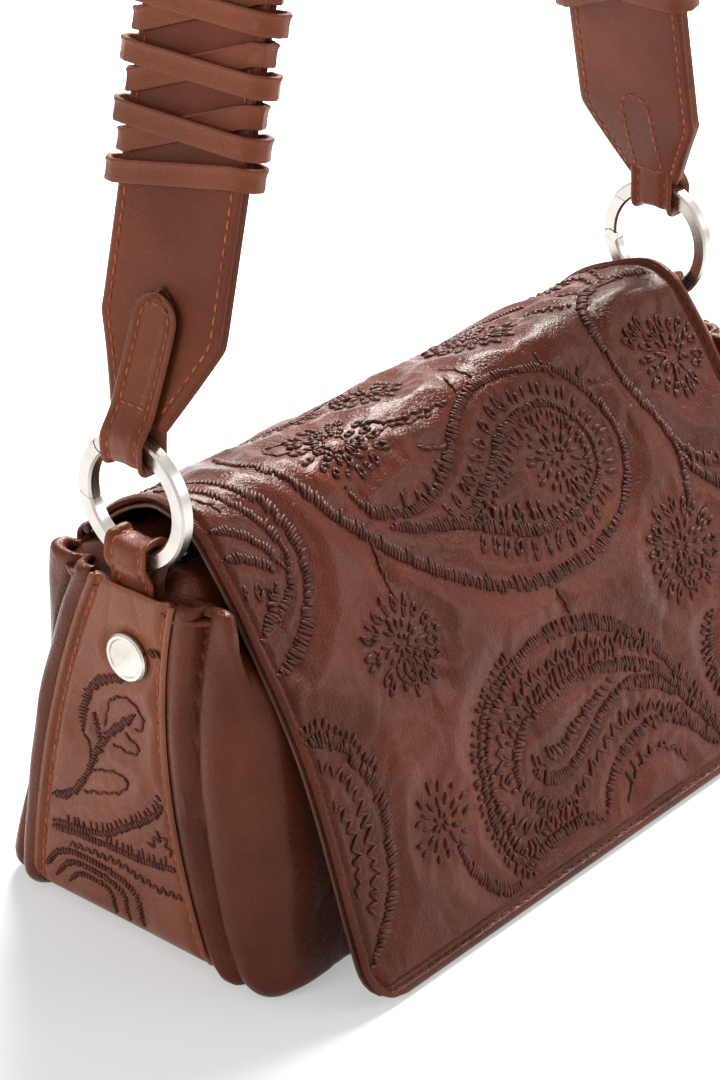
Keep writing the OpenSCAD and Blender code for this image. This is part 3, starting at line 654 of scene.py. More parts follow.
def quiltedLift(tree, x, d, q=quilting):
    # Leather is drawn down where it is sewn and puffs up between
    flat = np.stack(np.broadcast_arrays(x, d), axis=-1).reshape(-1, 2)
    away = np.array([tree.find((a, b, 0))[2] for a, b in flat]).reshape(np.shape(x))
    flat3 = stackXyz(x, d, 0 * x)
    lift = q["puff"] * smoothStep((away - 0.7) / q["spread"]) - q["press"] * (1 - smoothStep(away / 1.4))
    near = bump(away / 5) * smoothStep((away - 0.4) / 1.0)
    lift += q["fine"] * softNoise(flat3, 2.6, 4.2) * near + 0.6 * q["fine"] * softNoise(flat3, 5.5, 9.2)
    lift += q["broad"] * softNoise(flat3 * (1, 1.25, 1), 24, 2.7)
    lift -= q["crease"] * creaseLines(flat3 * (1.2, 0.8, 1), 15, 6.3)
    lift -= 0.6 * q["crease"] * creaseLines(flat3, 7.5, 12.9)
    return lift


# Body: the shapes of the part itself

bodyShape = {
    "length": 239, "height": 105, "endLean": 4.3, "wall": 2.4, "roll": 8,
    "frontDepths": (53, 45.5, 30.6), "backDepths": (54, 45, 31),
    "stripFront": (32, 14, 17), "stripBack": (36, 31, 13),
    "swell": 1.5, "frontDip": 5, "backDip": 1.3, "tuckFrom": 70, "tuckDepth": 10,
    "cornerReach": (13, 10.5), "cornerPower": (0.6, 1), "rollPower": 0.4,
}
flapShape = {
    "length": 208, "sag": 4.5, "corner": 13, "taper": 4, "leather": 1.5, "lining": 1.0,
    "hinge": (29.4, 105.4),
    "line": [(28.4, 107.6), (18, 117), (8, 122.3), (-3, 124.9), (-12, 122), (-20, 113.5), (-30, 99.5),
             (-50, 66), (-66, 21), (-73.2, 1)],
    "lap": [(32.9, 97), (32.9, 101), (32.2, 104.6)],
}
halfFlap = flapShape["length"] / 2


def halfLength(z):
    lean = bodyShape["endLean"]
    return bodyShape["length"] / 2 - lean * (1 - np.maximum(0, 1 - z / 80) ** 2)


def endX(z, inset):
    roll = bodyShape["roll"]
    radius = roll - inset
    drop = np.clip(roll - z, 0, radius)
    return halfLength(z) - inset - np.where(z < roll, radius - np.sqrt(radius ** 2 - drop ** 2), 0)


def seamY(side, z):
    three = bodyShape["stripFront"] if side < 0 else bodyShape["stripBack"]
    return side * curveThrough(three, z / bodyShape["height"])


def pastFlap(x):
    return smoothStep((np.abs(x) - halfFlap - 2) / 4)


def acrossFlap(x):
    return np.clip(1 - (x / halfFlap) ** 2, 0, 1)


def topEdge(side, x):
    dip = (bodyShape["frontDip"] + 0.9 * flapShape["sag"] * acrossFlap(x)) if side < 0 else bodyShape["backDip"]
    return bodyShape["height"] - (1 - pastFlap(x)) * dip


def faceY(side, x, z):
    depth = curveThrough(bodyShape["frontDepths"] if side < 0 else bodyShape["backDepths"], z / bodyShape["height"])
    tuck = 0
    if side < 0:
        tuck = (1 - pastFlap(x)) * bodyShape["tuckDepth"] * (np.maximum(0, z - bodyShape["tuckFrom"]) / 28) ** 2
    swell = bodyShape["swell"] * acrossFlap(x) * np.maximum(0, np.sin(np.pi * z / bodyShape["height"]))
    return side * (depth - tuck + swell)


panelLook = {"cornerShare": 0.13, "rollShare": 0.14}


def bodySkin(side, u, v, inset=0.0):
    corner = panelLook["cornerShare"]
    rollShare = panelLook["rollShare"]
    place = np.clip(2 * (u - corner) / (1 - 2 * corner) - 1, -1, 1)
    angle = np.radians(90 * (np.clip(1 - u / corner, 0, 1) + np.clip((u - 1 + corner) / corner, 0, 1)))
    rowAngle = np.radians(90 * np.clip(v / rollShare, 0, 1))
    rise = np.clip((v - rollShare) / (1 - rollShare), 0, 1)
    rowCos = np.where(rise > 0, 0, np.maximum(np.cos(rowAngle), 0))
    low = inset + (bodyShape["roll"] - inset) * (1 - rowCos ** bodyShape["rollPower"])
    topX = place * (bodyShape["length"] / 2 - bodyShape["cornerReach"][1]) \
        + np.sign(place) * bodyShape["cornerReach"][1] * np.sin(angle)
    z = np.where(rise > 0, mix(bodyShape["roll"], topEdge(side, topX), rise), low)
    share = np.sin(rowAngle) ** bodyShape["rollPower"]
    k = np.clip(z / bodyShape["height"], 0, 1)
    reach = mix(*bodyShape["cornerReach"], k)
    power = mix(*bodyShape["cornerPower"], k)
    x = place * (endX(z, inset) - reach) + np.sign(place) * reach * np.sin(angle) ** power * (angle > 0)
    seam = seamY(side, z)
    y = seam + (faceY(side, x, z) - side * inset - seam) * share * np.maximum(np.cos(angle), 0) ** power
    return stackXyz(x, y, z)


def seamDistance(p, fromStart=True):
    # Length along each row of the grid from its first or last column
    steps = np.linalg.norm(np.diff(p, axis=1), axis=2)
    run = np.concatenate([np.zeros((p.shape[0], 1)), np.cumsum(steps, axis=1)], axis=1)
    return run if fromStart else run[:, -1:] - run


panelFolds = {
    "cordRadius": 3.9, "cordHeight": 1.6, "grooveAt": 8.3, "grooveDepth": 3.0, "puffAt": 15, "puff": 1.5,
    "wrinkle": 0.3, "limp": 1.4, "crease": 0.28, "rimRows": 0.06, "rimRadius": 2.2, "backTrim": 5.5,
}
cornerFolds = [
    # distance from the bag's middle at the top edge, how far it drifts inwards per mm down, half width, depth
    (113.5, 0.05, 2.4, 1.8), (108.5, 0.14, 3.2, -1.5), (102.5, 0.34, 3.0, 1.5), (95, 0.5, 5.0, -0.9),
]


def plainPanel(side, u, v, inset=0.0):
    # The back panel's ends hang in a little where nothing fills them
    p = bodySkin(side, u, v, inset)
    if side > 0:
        nearEnd = smoothStep((np.abs(p[..., 0]) - 78) / 34) * smoothStep((p[..., 1] - 30) / 14)
        p[..., 1] -= panelFolds["backTrim"] * nearEnd
    return p


def foldedSkin(side, u, v):
    # The panel's leather: a corded roll along its seams, a groove beside it, folds at the top corners, a rolled rim
    look = panelFolds
    rim = look["rimRows"]
    body = np.clip(v / (1 - rim), 0, 1)
    p = plainPanel(side, u, mix(0, 0.985, body))
    x, z = p[..., 0], p[..., 2]
    q = plainPanel(side, u, mix(0, 0.985, np.linspace(0, 1, v.shape[0])[:, None] + 0 * u))
    n = gridNormals(q) * (1 if side < 0 else -1)
    rows = body[:, :1] * (v.shape[0] - 1)
    low = np.minimum(rows.astype(int), v.shape[0] - 2)
    n = unitRows(mix(n[low[:, 0]], n[low[:, 0] + 1], (rows - low)[..., None]))
    edge = np.minimum(seamDistance(p), seamDistance(p, False))
    lift = look["cordHeight"] * bump((edge - look["cordRadius"]) / 2.9)
    lift -= look["grooveDepth"] * bump((edge - look["grooveAt"]) / 1.4)
    lift += look["puff"] * bump((edge - look["puffAt"]) / 5)
    below = 105 - z
    high = smoothStep((z - 48) / 42)
    for at, drift, width, depth in cornerFolds:
        lift -= depth * high * bump((np.abs(x) - at + drift * below) / (width + 0.05 * below)) * smoothStep(edge / 5)
    calm = smoothStep((103 - z) / 8)
    lift -= look["crease"] * creaseLines(p * (1, 1, 0.6), 12, 21.5) * smoothStep((edge - 9) / 4) * calm
    lift += look["wrinkle"] * softNoise(p * (1, 1, 0.45), 7, 3.1) * (0.4 + smoothStep((np.abs(x) - 84) / 20)) * calm
    lift += look["limp"] * softNoise(p * (1, 1, 0.5), 26, 8.7) * smoothStep(edge / 12) * smoothStep((z - 5) / 15)
    lift *= smoothStep(edge / 0.8)
    p = p + n * lift[..., None]
    p[..., 2] = np.maximum(p[..., 2], 0)  # the roll flattens where it rests
    turn = math.radians(165) * np.clip((v - (1 - rim)) / rim, 0, 1)
    up = np.array([0, 0, 1.0])
    radius = look["rimRadius"]
    return p - n * (radius * (1 - np.cos(turn)))[..., None] + up * (radius * np.sin(turn))[..., None]


def makeBody(mats):
    front = gridPiece("front_panel_leather", 240, 120, lambda u, v: foldedSkin(-1, u, v))
    thicken(front, bodyShape["wall"] * 0.8, 0.5)
    finishPiece(front, mats["body"], nodes=["front_panel"])
    back = gridPiece("back_panel_leather", 240, 120, lambda u, v: foldedSkin(1, u, v), flip=True)
    thicken(back, bodyShape["wall"] * 0.8, 0.5)
    finishPiece(back, mats["body"], nodes=["back_panel"])
    print("body panels made")


# End strip: down one end, under the base and up the other

stripLook = {
    "thickness": 2.4, "edgeRaise": 0.9, "seamGap": 0.1, "stitchIn": 3.2, "rivet": (0, 85), "rivetClear": 7.6,
}


def stripMotifs():
    # Leaves, vines and half paisleys of an end panel: y across it and z up it
    sewn = []
    satinBand(sewn, [(-11.6, 91), (-6.6, 87.5), (-2, 82.5), (3, 77.5), (8.6, 75), (13.4, 71.5), (17, 65), (18.3, 58),
                     (18, 55)], 2.9, taper=(4, 5), seed=101)
    chainLine(sewn, [(18, 55), (15.8, 54), (15.3, 48)], seed=102)
    satinBand(sewn, [(-1.5, 68), (3.8, 63), (8.9, 58), (12.6, 52), (15.8, 45), (20, 38), (24.5, 34), (30, 32)], 2.6,
              taper=(8, 4), seed=103)
    chainLine(sewn, [(9.8, 60), (8.9, 67), (6.3, 70), (1.4, 72), (-2.2, 70), (-4.1, 67), (-3.5, 64), (-1.2, 63)],
              step=2.0, seed=104)
    chainLine(sewn, [(2.8, 61), (-2.5, 58), (0.5, 55.5), (7.3, 56)], step=2.0, seed=105)
    satinBand(sewn, [(14, 63), (12.6, 58), (11.9, 54)], 2.4, taper=(3, 3), seed=106)
    chainLine(sewn, [(15, 45), (8, 47.5), (1.7, 47), (3.8, 43), (9.9, 40), (18.7, 37.5)], step=2.0, seed=107)
    low = [(-12.4, 47.5), (-8.5, 41), (-2.7, 36), (3.4, 32), (9.2, 28), (16.5, 26), (23.7, 25), (30, 24)]
    satinBand(sewn, low, 2.0, taper=(4, 4), seed=108)
    spikeRow(sewn, low, 1, 2.2, 2.2, inset=0.8, thread=0.9, seed=109, ends=(0.05, 0.9))
    tooth = [(-17, 27.5), (-9, 26), (-1.5, 25), (7, 24.6), (16.6, 24), (30, 22.6)]
    satinBand(sewn, tooth, 2.0, taper=(3, 4), seed=110)
    zigzagLine(sewn, [(-14.5, 31), (-10.5, 36), (-8.5, 33), (-5.5, 30)], 2.8, 1.5, seed=111)
    spikeRow(sewn, tooth, 1, 2.6, 2.0, inset=0.8, thread=0.9, seed=112, ends=(0.1, 0.6))
    zigzagLine(sewn, [(-18.6, 20), (-9.7, 19), (-1.6, 20), (5.9, 21), (13, 20.5), (24, 19.5)], 2.0, 1.4, seed=113)
    for reach, seed in ((1.0, 114), (0.72, 115), (0.46, 116)):
        ring = [(mix(14, 33, reach), 8), (mix(14, 26, reach), 8 + 8 * reach), (14, 8 + 9.5 * reach),
                (mix(14, -1, reach), 8 + 6.5 * reach), (mix(14, -5, reach), 4.5)]
        satinBand(sewn, ring, 1.9 if reach > 0.5 else 1.4, taper=(3, 3), seed=seed)
    sewn = np.array(sewn)
    sewn[:, 4] *= 0.85
    middle = (sewn[:, 0:2] + sewn[:, 2:4]) / 2
    clear = np.linalg.norm(middle - stripLook["rivet"], axis=1) > stripLook["rivetClear"]
    front, rear = seamY(-1, middle[:, 1]), seamY(1, middle[:, 1])
    inside = (middle[:, 0] > front + 4.2) & (middle[:, 0] < rear - 4.2) & (middle[:, 1] > 3)
    return sewn[clear & inside]


stripSewn = stripMotifs()
stripTree = stitchTree(stripSewn)
stripQuilt = {"puff": 0.9, "press": 0.3, "spread": 5.5, "fine": 0.16, "broad": 0.35, "crease": 0.2}


def stripPath():
    roll = bodyShape["roll"]
    high = np.linspace(bodyShape["height"], roll, 60)
    angles = np.radians(np.linspace(0, -90, 12))[1:]
    corner = halfLength(roll) - roll
    right = np.vstack([np.stack([halfLength(high), high], axis=1),
                       np.stack([corner + roll * np.cos(angles), roll + roll * np.sin(angles)], axis=1)])
    base = np.stack([np.linspace(-right[-1, 0], right[-1, 0], 80)[1:-1], np.zeros(78)], axis=1)
    return np.vstack([right * (-1, 1), base, right[::-1]])


stripRun = stripPath()
stripLengths = runLength(stripRun)


def stripPoint(v, inFromFront=None, u=None, lift=0.0):
    # v runs from the left top round the base to the right top, u from the back seam to the front seam
    d = v * stripLengths[-1]
    xz = alongLine(stripRun, stripLengths, d)
    t = headingAt(stripRun, stripLengths, d, 0.8)
    z = np.maximum(xz[..., 1], 0)
    rear, front = seamY(1, z) - stripLook["seamGap"], seamY(-1, z) + stripLook["seamGap"]
    y = mix(rear, front, u) if inFromFront is None else (front + inFromFront if inFromFront > 0 else rear + inFromFront)
    lift = np.asarray(lift)
    return stackXyz(xz[..., 0] + t[..., 1] * lift, y, xz[..., 1] - t[..., 0] * lift)


def stripRelief(p, u):
    y, z = p[..., 1], p[..., 2]
    edge = np.minimum(u, 1 - u) * np.abs(seamY(1, z) - seamY(-1, z))
    rim = np.minimum(edge, np.maximum(bodyShape["height"] - z, 0))
    onEnd = smoothStep((z - 1) / 8)
    look = stripLook
    lift = look["edgeRaise"] * (1 - smoothStep((edge - 1.6) / 1.2)) * onEnd - 0.5 * (1 - smoothStep(rim / 0.9))
    lift -= 0.55 * bump((edge - look["stitchIn"]) / 0.8) * onEnd
    lift += quiltedLift(stripTree, y, z, stripQuilt) * onEnd * smoothStep((edge - look["stitchIn"] - 0.4) / 2.5)
    away = np.hypot(y - look["rivet"][0], z - look["rivet"][1])
    return mix(lift, -0.3, 1 - smoothStep((away - 7) / 3.5))


def stripSkin(u, v):
    plain = stripPoint(v, u=u)
    return stripPoint(v, u=u, lift=stripRelief(plain, u))


def makeStrip(mats):
    strip = gridPiece("end_strip_leather", 90, 420, stripSkin, flip=True)
    thicken(strip, stripLook["thickness"] * 0.8, 0.4)
    finishPiece(strip, mats["strip"], nodes=["gusset_strip"])
    v = np.linspace(0.004, 0.996, 700)
    rows = [stripPoint(v, inFromFront=side * stripLook["stitchIn"]) for side in (1, -1)]
    sewSeams("strip_stitches", rows, strip, mats["edgeThread"], "root")
    for side, word in ((-1, "left"), (1, "right")):
        a = stackXyz(side * (halfLength(stripSewn[:, 1]) + 1), stripSewn[:, 0], stripSewn[:, 1])
        b = stackXyz(side * (halfLength(stripSewn[:, 3]) + 1), stripSewn[:, 2], stripSewn[:, 3])
        widths = stripSewn[:, 4] * embroideryLook["bold"]
        threads = sewOn("end_embroidery_" + word, a, b, widths, widths * embroideryLook["height"], strip)
        finishPiece(threads, mats["silkThread"])
    print("end strip made")


# Flap

flapLook = {"cells": (210, 185), "grooveIn": 3.7, "threadLift": 2.2}
flapFull = catmullRom(flapShape["lap"] + flapShape["line"], 24)
flapRun = runLength(flapFull)
flapDrop = flapRun[-1]


def flapHalfAt(yz):
    front = np.array(flapShape["line"][-1])
    d = np.linalg.norm(yz - front, axis=-1)
    r = flapShape["corner"]
    inside = np.clip(r - d, 0, r)
    rear = flapShape["taper"] * smoothStep((yz[..., 0] + 6) / 16)
    return halfFlap - rear - (r - np.sqrt(np.maximum(r * r - inside * inside, 0)))


def flapBase(x, d, sunk=0.0):
    # A place on the flap's outer leather from its x and its run along the line from the back lap
    yz = alongLine(flapFull, flapRun, d)
    t = headingAt(flapFull, flapRun, d, 0.6)
    normal = np.stack([-t[..., 1], t[..., 0]], axis=-1)
    yz = yz + normal * np.asarray(sunk)[..., None]
    y, z = yz[..., 0], yz[..., 1]
    beforeHinge = smoothStep((flapShape["hinge"][0] - 2 - y) / 16)
    sag = flapShape["sag"] * acrossFlap(x) * smoothStep((z - 75) / 45) * beforeHinge
    return stackXyz(x, y, z - sag), stackXyz(np.zeros_like(x), -normal[..., 0], -normal[..., 1])


def flapEdgeDistance(x, d):
    yz = alongLine(flapFull, flapRun, d)
    return np.minimum(flapHalfAt(yz) - np.abs(x), flapDrop - d)


def flapMotifs():
    # Paisleys, daisies and vines in the flap's own terms: x along the bag, and run from the back lap
    sewn = []
    # Large paisley under the ridge
    tearOuter = [(-50, 66), (-46, 75), (-36, 79), (-24, 78), (-14, 73), (-5, 65), (4, 59), (15, 56), (28, 58)]
    tearRight = [(28, 58), (39, 62), (47, 70), (51, 80), (52, 91), (48, 102), (39, 111)]
    tearLow = [(39, 111), (26, 116), (10, 117.5), (-6, 115), (-22, 107), (-36, 96), (-48, 84), (-58, 71),
               (-65, 58), (-69, 46), (-67, 36), (-63, 28)]
    satinBand(sewn, tearOuter, 2.6, taper=(4, 12), seed=11)
    satinBand(sewn, tearRight, 1.7, taper=(8, 8), seed=12)
    satinBand(sewn, tearLow, 3.6, taper=(16, 14), seed=13)
    heartTop = [(-20, 90), (-8, 86), (2, 79), (10, 72.5), (20, 69)]
    heartRight = [(20, 69), (31, 70.5), (39, 78), (41, 88), (38, 97), (30, 102)]
    heartLow = [(30, 102), (18, 104), (6, 102.5), (-6, 97), (-18, 90), (-30, 86), (-42, 81)]
    satinBand(sewn, heartTop, 3.3, taper=(5, 5), seed=14)
    satinBand(sewn, heartRight, 1.8, seed=15)
    satinBand(sewn, heartLow, 2.4, taper=(5, 9), seed=16)
    leafRow(sewn, heartLow, -1, 6.2, 4.4, inset=2.2, lean=0.1, seed=17, ends=(0.0, 0.62))
    leafRow(sewn, heartTop, -1, 5.6, 4.6, inset=2.6, lean=-0.15, seed=18, ends=(0.05, 1.0))
    spikeRow(sewn, heartRight, -1, 4.6, 2.6, inset=1.8, seed=19)
    spikeRow(sewn, heartRight, 1, 3.2, 2.4, inset=1.8, seed=20)
    spikeRow(sewn, heartLow, 1, 5.5, 3.0, inset=2.0, seed=21, ends=(0.02, 0.5))
    spikeRow(sewn, heartTop, 1, 4.0, 2.6, inset=2.2, seed=22, ends=(0.15, 1.0))
    daisy(sewn, (26, 86), [(1.2, 3.6, 8, 1.0), (4.6, 8.4, 15, 1.05), (9.2, 11.8, 20, 0.95)], seed=23, squeeze=0.95)
    spikeRow(sewn, [(-14, 88), (-2, 92), (12, 95)], 1, 4.2, 4.4, inset=0, seed=24)
    chainLine(sewn, [(-12, 91), (-4, 88), (3, 84), (8, 84)], seed=25)
    for start, end in (((12, 43), (14.5, 54)), ((7, 49), (5.5, 56)), ((3.5, 120), (4.5, 129)), ((46, 70), (56, 73)),
                       ((-19, 64), (-10, 68)), ((-52, 82), (-53, 100)), ((38, 57), (40, 66)), ((50, 66), (47, 72))):
        chainLine(sewn, [start, end], seed=int(start[1]))
    spikeRow(sewn, [(-40, 80), (-30, 80), (-18, 78), (-8, 71)], -1, 4.6, 6.0, inset=1.6, seed=26)
    # Vine and open daisy at the left of the ridge
    chainLine(sewn, [(-30, 51), (-20, 54), (-8, 55.5), (0, 57.5)], step=2.2, thread=1.0, seed=27)
    chainLine(sewn, [(-28, 54), (-18, 56.5), (-7, 57.5)], step=2.6, seed=28)
    daisy(sewn, (-42, 53), [(4.6, 9.6, 14, 1.15), (10.2, 15.4, 19, 1.05)], core=4.2, seed=29, squeeze=0.85)
    chainLine(sewn, [(-50, 44), (-56, 40), (-60, 47), (-54, 49)], seed=30)
    # Half daisies on top of the ridge
    daisy(sewn, (-8, 33), [(2.0, 6.0, 10, 1.2), (6.6, 11.6, 16, 1.1)], seed=31, squeeze=0.9)
    daisy(sewn, (38, 33), [(2.4, 7.0, 11, 1.2), (7.6, 13.6, 18, 1.15)], seed=32, squeeze=1.0)
    # Long bands of the left end, and the paisley under them
    satinBand(sewn, [(-86, 30), (-86, 40), (-82, 52), (-77, 62), (-75, 73), (-77, 84), (-83, 93), (-92, 100),
                     (-101, 103)], 3.0, taper=(10, 8), seed=33)
    satinBand(sewn, [(-94, 36), (-92, 46), (-87, 56), (-81, 66), (-80, 76), (-84, 84), (-93, 90)], 2.2, seed=34)
    satinBand(sewn, [(-101, 62), (-93, 64), (-86, 70), (-82, 78)], 1.6, seed=35)
    satinBand(sewn, [(-101, 70), (-93, 72), (-85, 78)], 1.6, seed=36)
    satinBand(sewn, [(-100, 93), (-93, 88), (-87, 81)], 3.4, taper=(7, 7), seed=37)
    leafRow(sewn, [(-101, 76), (-94, 78), (-86, 81)], 1, 4.0, 4.0, inset=1.2, seed=38)
    chainLine(sewn, [(-101, 44), (-96, 50), (-91, 58)], seed=39)
    # Middle daisies
    daisy(sewn, (-57, 112), [(1.0, 3.6, 8, 1.0), (4.4, 8.2, 15, 1.1), (8.8, 13.8, 19, 1.0)], seed=40)
    chainLine(sewn, [(-62, 117), (-60, 121.5), (-56, 123), (-52, 121), (-50.5, 117)], step=1.8, seed=41)
    leafRow(sewn, [(-63, 119), (-58, 123), (-51, 120)], -1, 4.8, 3.4, inset=1.2, seed=42)
    daisy(sewn, (58, 129), [(1.0, 3.8, 8, 1.0), (4.8, 9.0, 16, 1.1), (9.6, 15.2, 20, 1.05)], seed=43)
    chainLine(sewn, [(53, 135), (55, 139.5), (59, 141), (63, 139), (65, 134)], step=1.8, seed=44)
    leafRow(sewn, [(52, 136), (58, 141), (66, 136)], -1, 5.2, 3.6, inset=1.4, seed=45)
    daisy(sewn, (-63, 160), [(1.0, 3.4, 7, 1.1), (4.2, 8.6, 12, 1.25), (8.6, 11.2, 13, 1.0)], seed=46)
    satinBand(sewn, [(-59, 169), (-56, 177), (-51, 184), (-45, 188.5), (-40, 189)], 2.4, taper=(5, 5), seed=47)
    # Lower left paisley, cut by the flap's end
    satinBand(sewn, [(-101, 121), (-94, 123), (-88, 129), (-84, 138), (-82, 149), (-83, 160), (-87, 170), (-94, 179),
                     (-101, 185)], 3.6, taper=(8, 12), seed=48)
    spikeRow(sewn, [(-101, 121), (-94, 123), (-88, 129), (-84, 138)], -1, 2.6, 1.7, inset=2.0, seed=49)
    zigzagLine(sewn, [(-99, 128), (-93, 132), (-90, 141), (-89, 152), (-91, 163), (-97, 172)], 3.6, 1.9, seed=50)
    zigzagLine(sewn, [(-101, 136), (-96, 143), (-95, 152), (-97, 161), (-101, 167)], 3.0, 2.0, seed=51)
    # Large paisley above the front edge
    crestOuter = [(56, 188), (51, 176), (44, 163), (35, 151), (25, 141), (13, 134), (0, 130.5), (-12, 130.5),
                  (-22, 132)]
    crestLeft = [(-22, 132), (-33, 137), (-41, 146), (-44, 158), (-43, 170), (-39, 181), (-32, 187)]
    satinBand(sewn, crestOuter, 3.6, taper=(6, 18), seed=52)
    satinBand(sewn, crestLeft, 2.6, taper=(14, 6), seed=53)
    spikeRow(sewn, crestLeft, -1, 3.4, 1.9, inset=1.4, thread=1.3, seed=54)
    spikeRow(sewn, crestLeft, 1, 2.4, 2.3, inset=1.6, thread=1.1, seed=55)
    crestInner = [(52, 181), (44, 168), (35, 158), (24, 151), (11, 146.5), (-3, 145), (-15, 146.5), (-25, 151),
                  (-30, 158), (-30, 166)]
    satinBand(sewn, crestInner, 3.2, taper=(6, 8), seed=56)
    zigzagLine(sewn, [(33, 151), (22, 143.5), (10, 139), (-4, 137.5), (-18, 139), (-29, 144.5), (-36, 153), (-37, 164)],
               4.4, 2.1, thread=1.05, seed=57)
    satinBand(sewn, [(40, 166), (31, 159), (20, 156), (9, 158.5), (0, 164), (-9, 168), (-18, 167.5), (-24, 163)], 2.6,
              taper=(8, 8), seed=58)
    spikeRow(sewn, crestInner, 1, 3.8, 2.0, inset=1.8, thread=1.1, seed=59, ends=(0.45, 0.98))
    spikeRow(sewn, [(-20, 160), (-10, 159), (2, 154), (14, 150)], 1, 4.2, 2.4, inset=0.4, lean=0.6, seed=60)
    spikeRow(sewn, [(-22, 162), (-12, 163), (0, 158), (10, 154)], -1, 3.4, 2.6, inset=0.2, lean=-0.6, seed=61)
    leafRow(sewn, [(-27, 166), (-20, 173), (-9, 175)], 1, 4.0, 3.2, inset=0.5, seed=62)
    zigzagLine(sewn, [(-36, 171), (-28, 178), (-16, 178), (-6, 174), (6, 168), (18, 164), (30, 166), (40, 173)],
               4.2, 2.2, seed=63)
    satinBand(sewn, [(53, 187), (44, 177), (35, 171.5), (24, 170), (13, 173), (5, 179), (0, 186)], 3.0, taper=(6, 8),
              seed=64)
    satinBand(sewn, [(-38, 187), (-28, 184), (-18, 183), (-8, 184), (-2, 187)], 2.6, seed=65)
    spikeRow(sewn, [(-38, 187), (-28, 184), (-18, 183), (-8, 184)], -1, 3.6, 2.2, inset=1.5, seed=66)
    chainLine(sewn, [(10, 187), (14, 181), (20, 178), (28, 178), (35, 182), (38, 187)], seed=67)
    spikeRow(sewn, [(14, 183), (22, 179), (32, 181)], -1, 3.6, 3.4, inset=1.0, seed=68)
    # Tall paisley at the right
    satinBand(sewn, [(97, 52), (88, 46.5), (78, 46), (69, 50), (63.5, 58), (63, 68)], 2.8, taper=(5, 8), seed=69)
    satinBand(sewn, [(63, 68), (65, 80), (69, 91), (71, 102), (69, 112), (65, 120)], 2.2, taper=(6, 8), seed=70)
    spikeRow(sewn, [(60, 37), (64, 43), (69, 48)], 1, 3.0, 2.4, inset=0, seed=71)
    for start, end in (((74, 37), (76, 45)), ((82, 45), (92, 28)), ((86, 45), (95, 33)), ((60, 38), (66, 46))):
        chainLine(sewn, [start, end], thread=1.05, seed=int(start[0]))
    leafRow(sewn, [(71, 66), (76, 63), (82, 62)], 1, 5.0, 3.0, inset=0.4, seed=72)
    daisy(sewn, (86, 78), [(3.4, 7.0, 12, 1.1), (7.6, 12.6, 18, 1.05)], core=3.4, seed=73)
    satinBand(sewn, [(70, 98), (76, 106), (84, 112), (93, 115), (101, 116)], 2.2, seed=74)
    satinBand(sewn, [(70, 104), (77, 114), (86, 120), (96, 123)], 2.0, seed=75)
    spikeRow(sewn, [(76, 104), (84, 108), (94, 111)], 1, 4.4, 2.8, inset=1.0, seed=76)
    # Right end, past the edge of the photo: the same kinds of motifs go on
    satinBand(sewn, [(101, 132), (92, 134), (84, 141), (79, 151), (78, 163), (82, 174), (90, 183), (100, 188)], 3.2,
              taper=(6, 8), seed=77)
    zigzagLine(sewn, [(100, 141), (92, 145), (87, 153), (86, 163), (90, 172), (98, 179)], 3.8, 2.0, seed=78)
    daisy(sewn, (97, 160), [(1.0, 3.4, 7, 1.1), (4.0, 7.0, 11, 1.1)], seed=79)
    spikeRow(sewn, [(63, 152), (59, 160), (60, 170), (65, 178)], 1, 3.4, 2.0, inset=0.6, seed=80)
    satinBand(sewn, [(63, 151), (59, 160), (60, 171), (66, 180)], 2.4, seed=81)
    # Back of the ridge
    daisy(sewn, (-88, 22), [(1.6, 4.6, 8, 1.1), (5.4, 9.6, 13, 1.1)], seed=82)
    satinBand(sewn, [(-60, 16), (-46, 19), (-34, 26), (-24, 24), (-12, 18), (2, 16)], 2.6, taper=(6, 8), seed=83)
    leafRow(sewn, [(-46, 19), (-34, 26), (-24, 24)], 1, 4.4, 4.0, inset=2.0, seed=84)
    satinBand(sewn, [(16, 18), (30, 15.5), (46, 17), (58, 24), (66, 30)], 2.6, taper=(6, 8), seed=85)
    daisy(sewn, (84, 24), [(1.4, 4.0, 8, 1.1), (4.8, 8.6, 13, 1.05)], seed=86)
    return np.array(sewn)


def keepOnFlap(sewn):
    edge = np.minimum(flapEdgeDistance(sewn[:, 0], sewn[:, 1]), flapEdgeDistance(sewn[:, 2], sewn[:, 3]))
    return sewn[(edge > 3.4) & (sewn[:, 1] > 9) & (sewn[:, 3] > 9)]


flapSewn = keepOnFlap(flapMotifs())
print("motifs drawn:", len(flapSewn), "stitches")
flapTree = stitchTree(flapSewn)


def flapRelief(x, d):
    # Height of the padded leather over its plain form
    edge = flapEdgeDistance(x, d)
    inner = smoothStep((edge - flapLook["grooveIn"]) / 3)
    lift = 1.0 * bump((edge - 1.6) / 1.3)
    lift -= 0.9 * bump((edge - flapLook["grooveIn"]) / 0.8)
    return lift + inner * quiltedLift(flapTree, x, d) * smoothStep((d - 4) / 8)


def flapGrid(u, v, sunk=0.0, relief=True):
    d = v * flapDrop
    yz = alongLine(flapFull, flapRun, d)
    x = (2 * u - 1) * flapHalfAt(yz)
    p, n = flapBase(x, d, sunk)
    if relief:
        p = p + n * flapRelief(x, d)[..., None]
    return p


flapBend = {"a": "root", "b": "flap", "start": (0, 0.0325, 0.1054), "end": (0, 0.0215, 0.1054)}


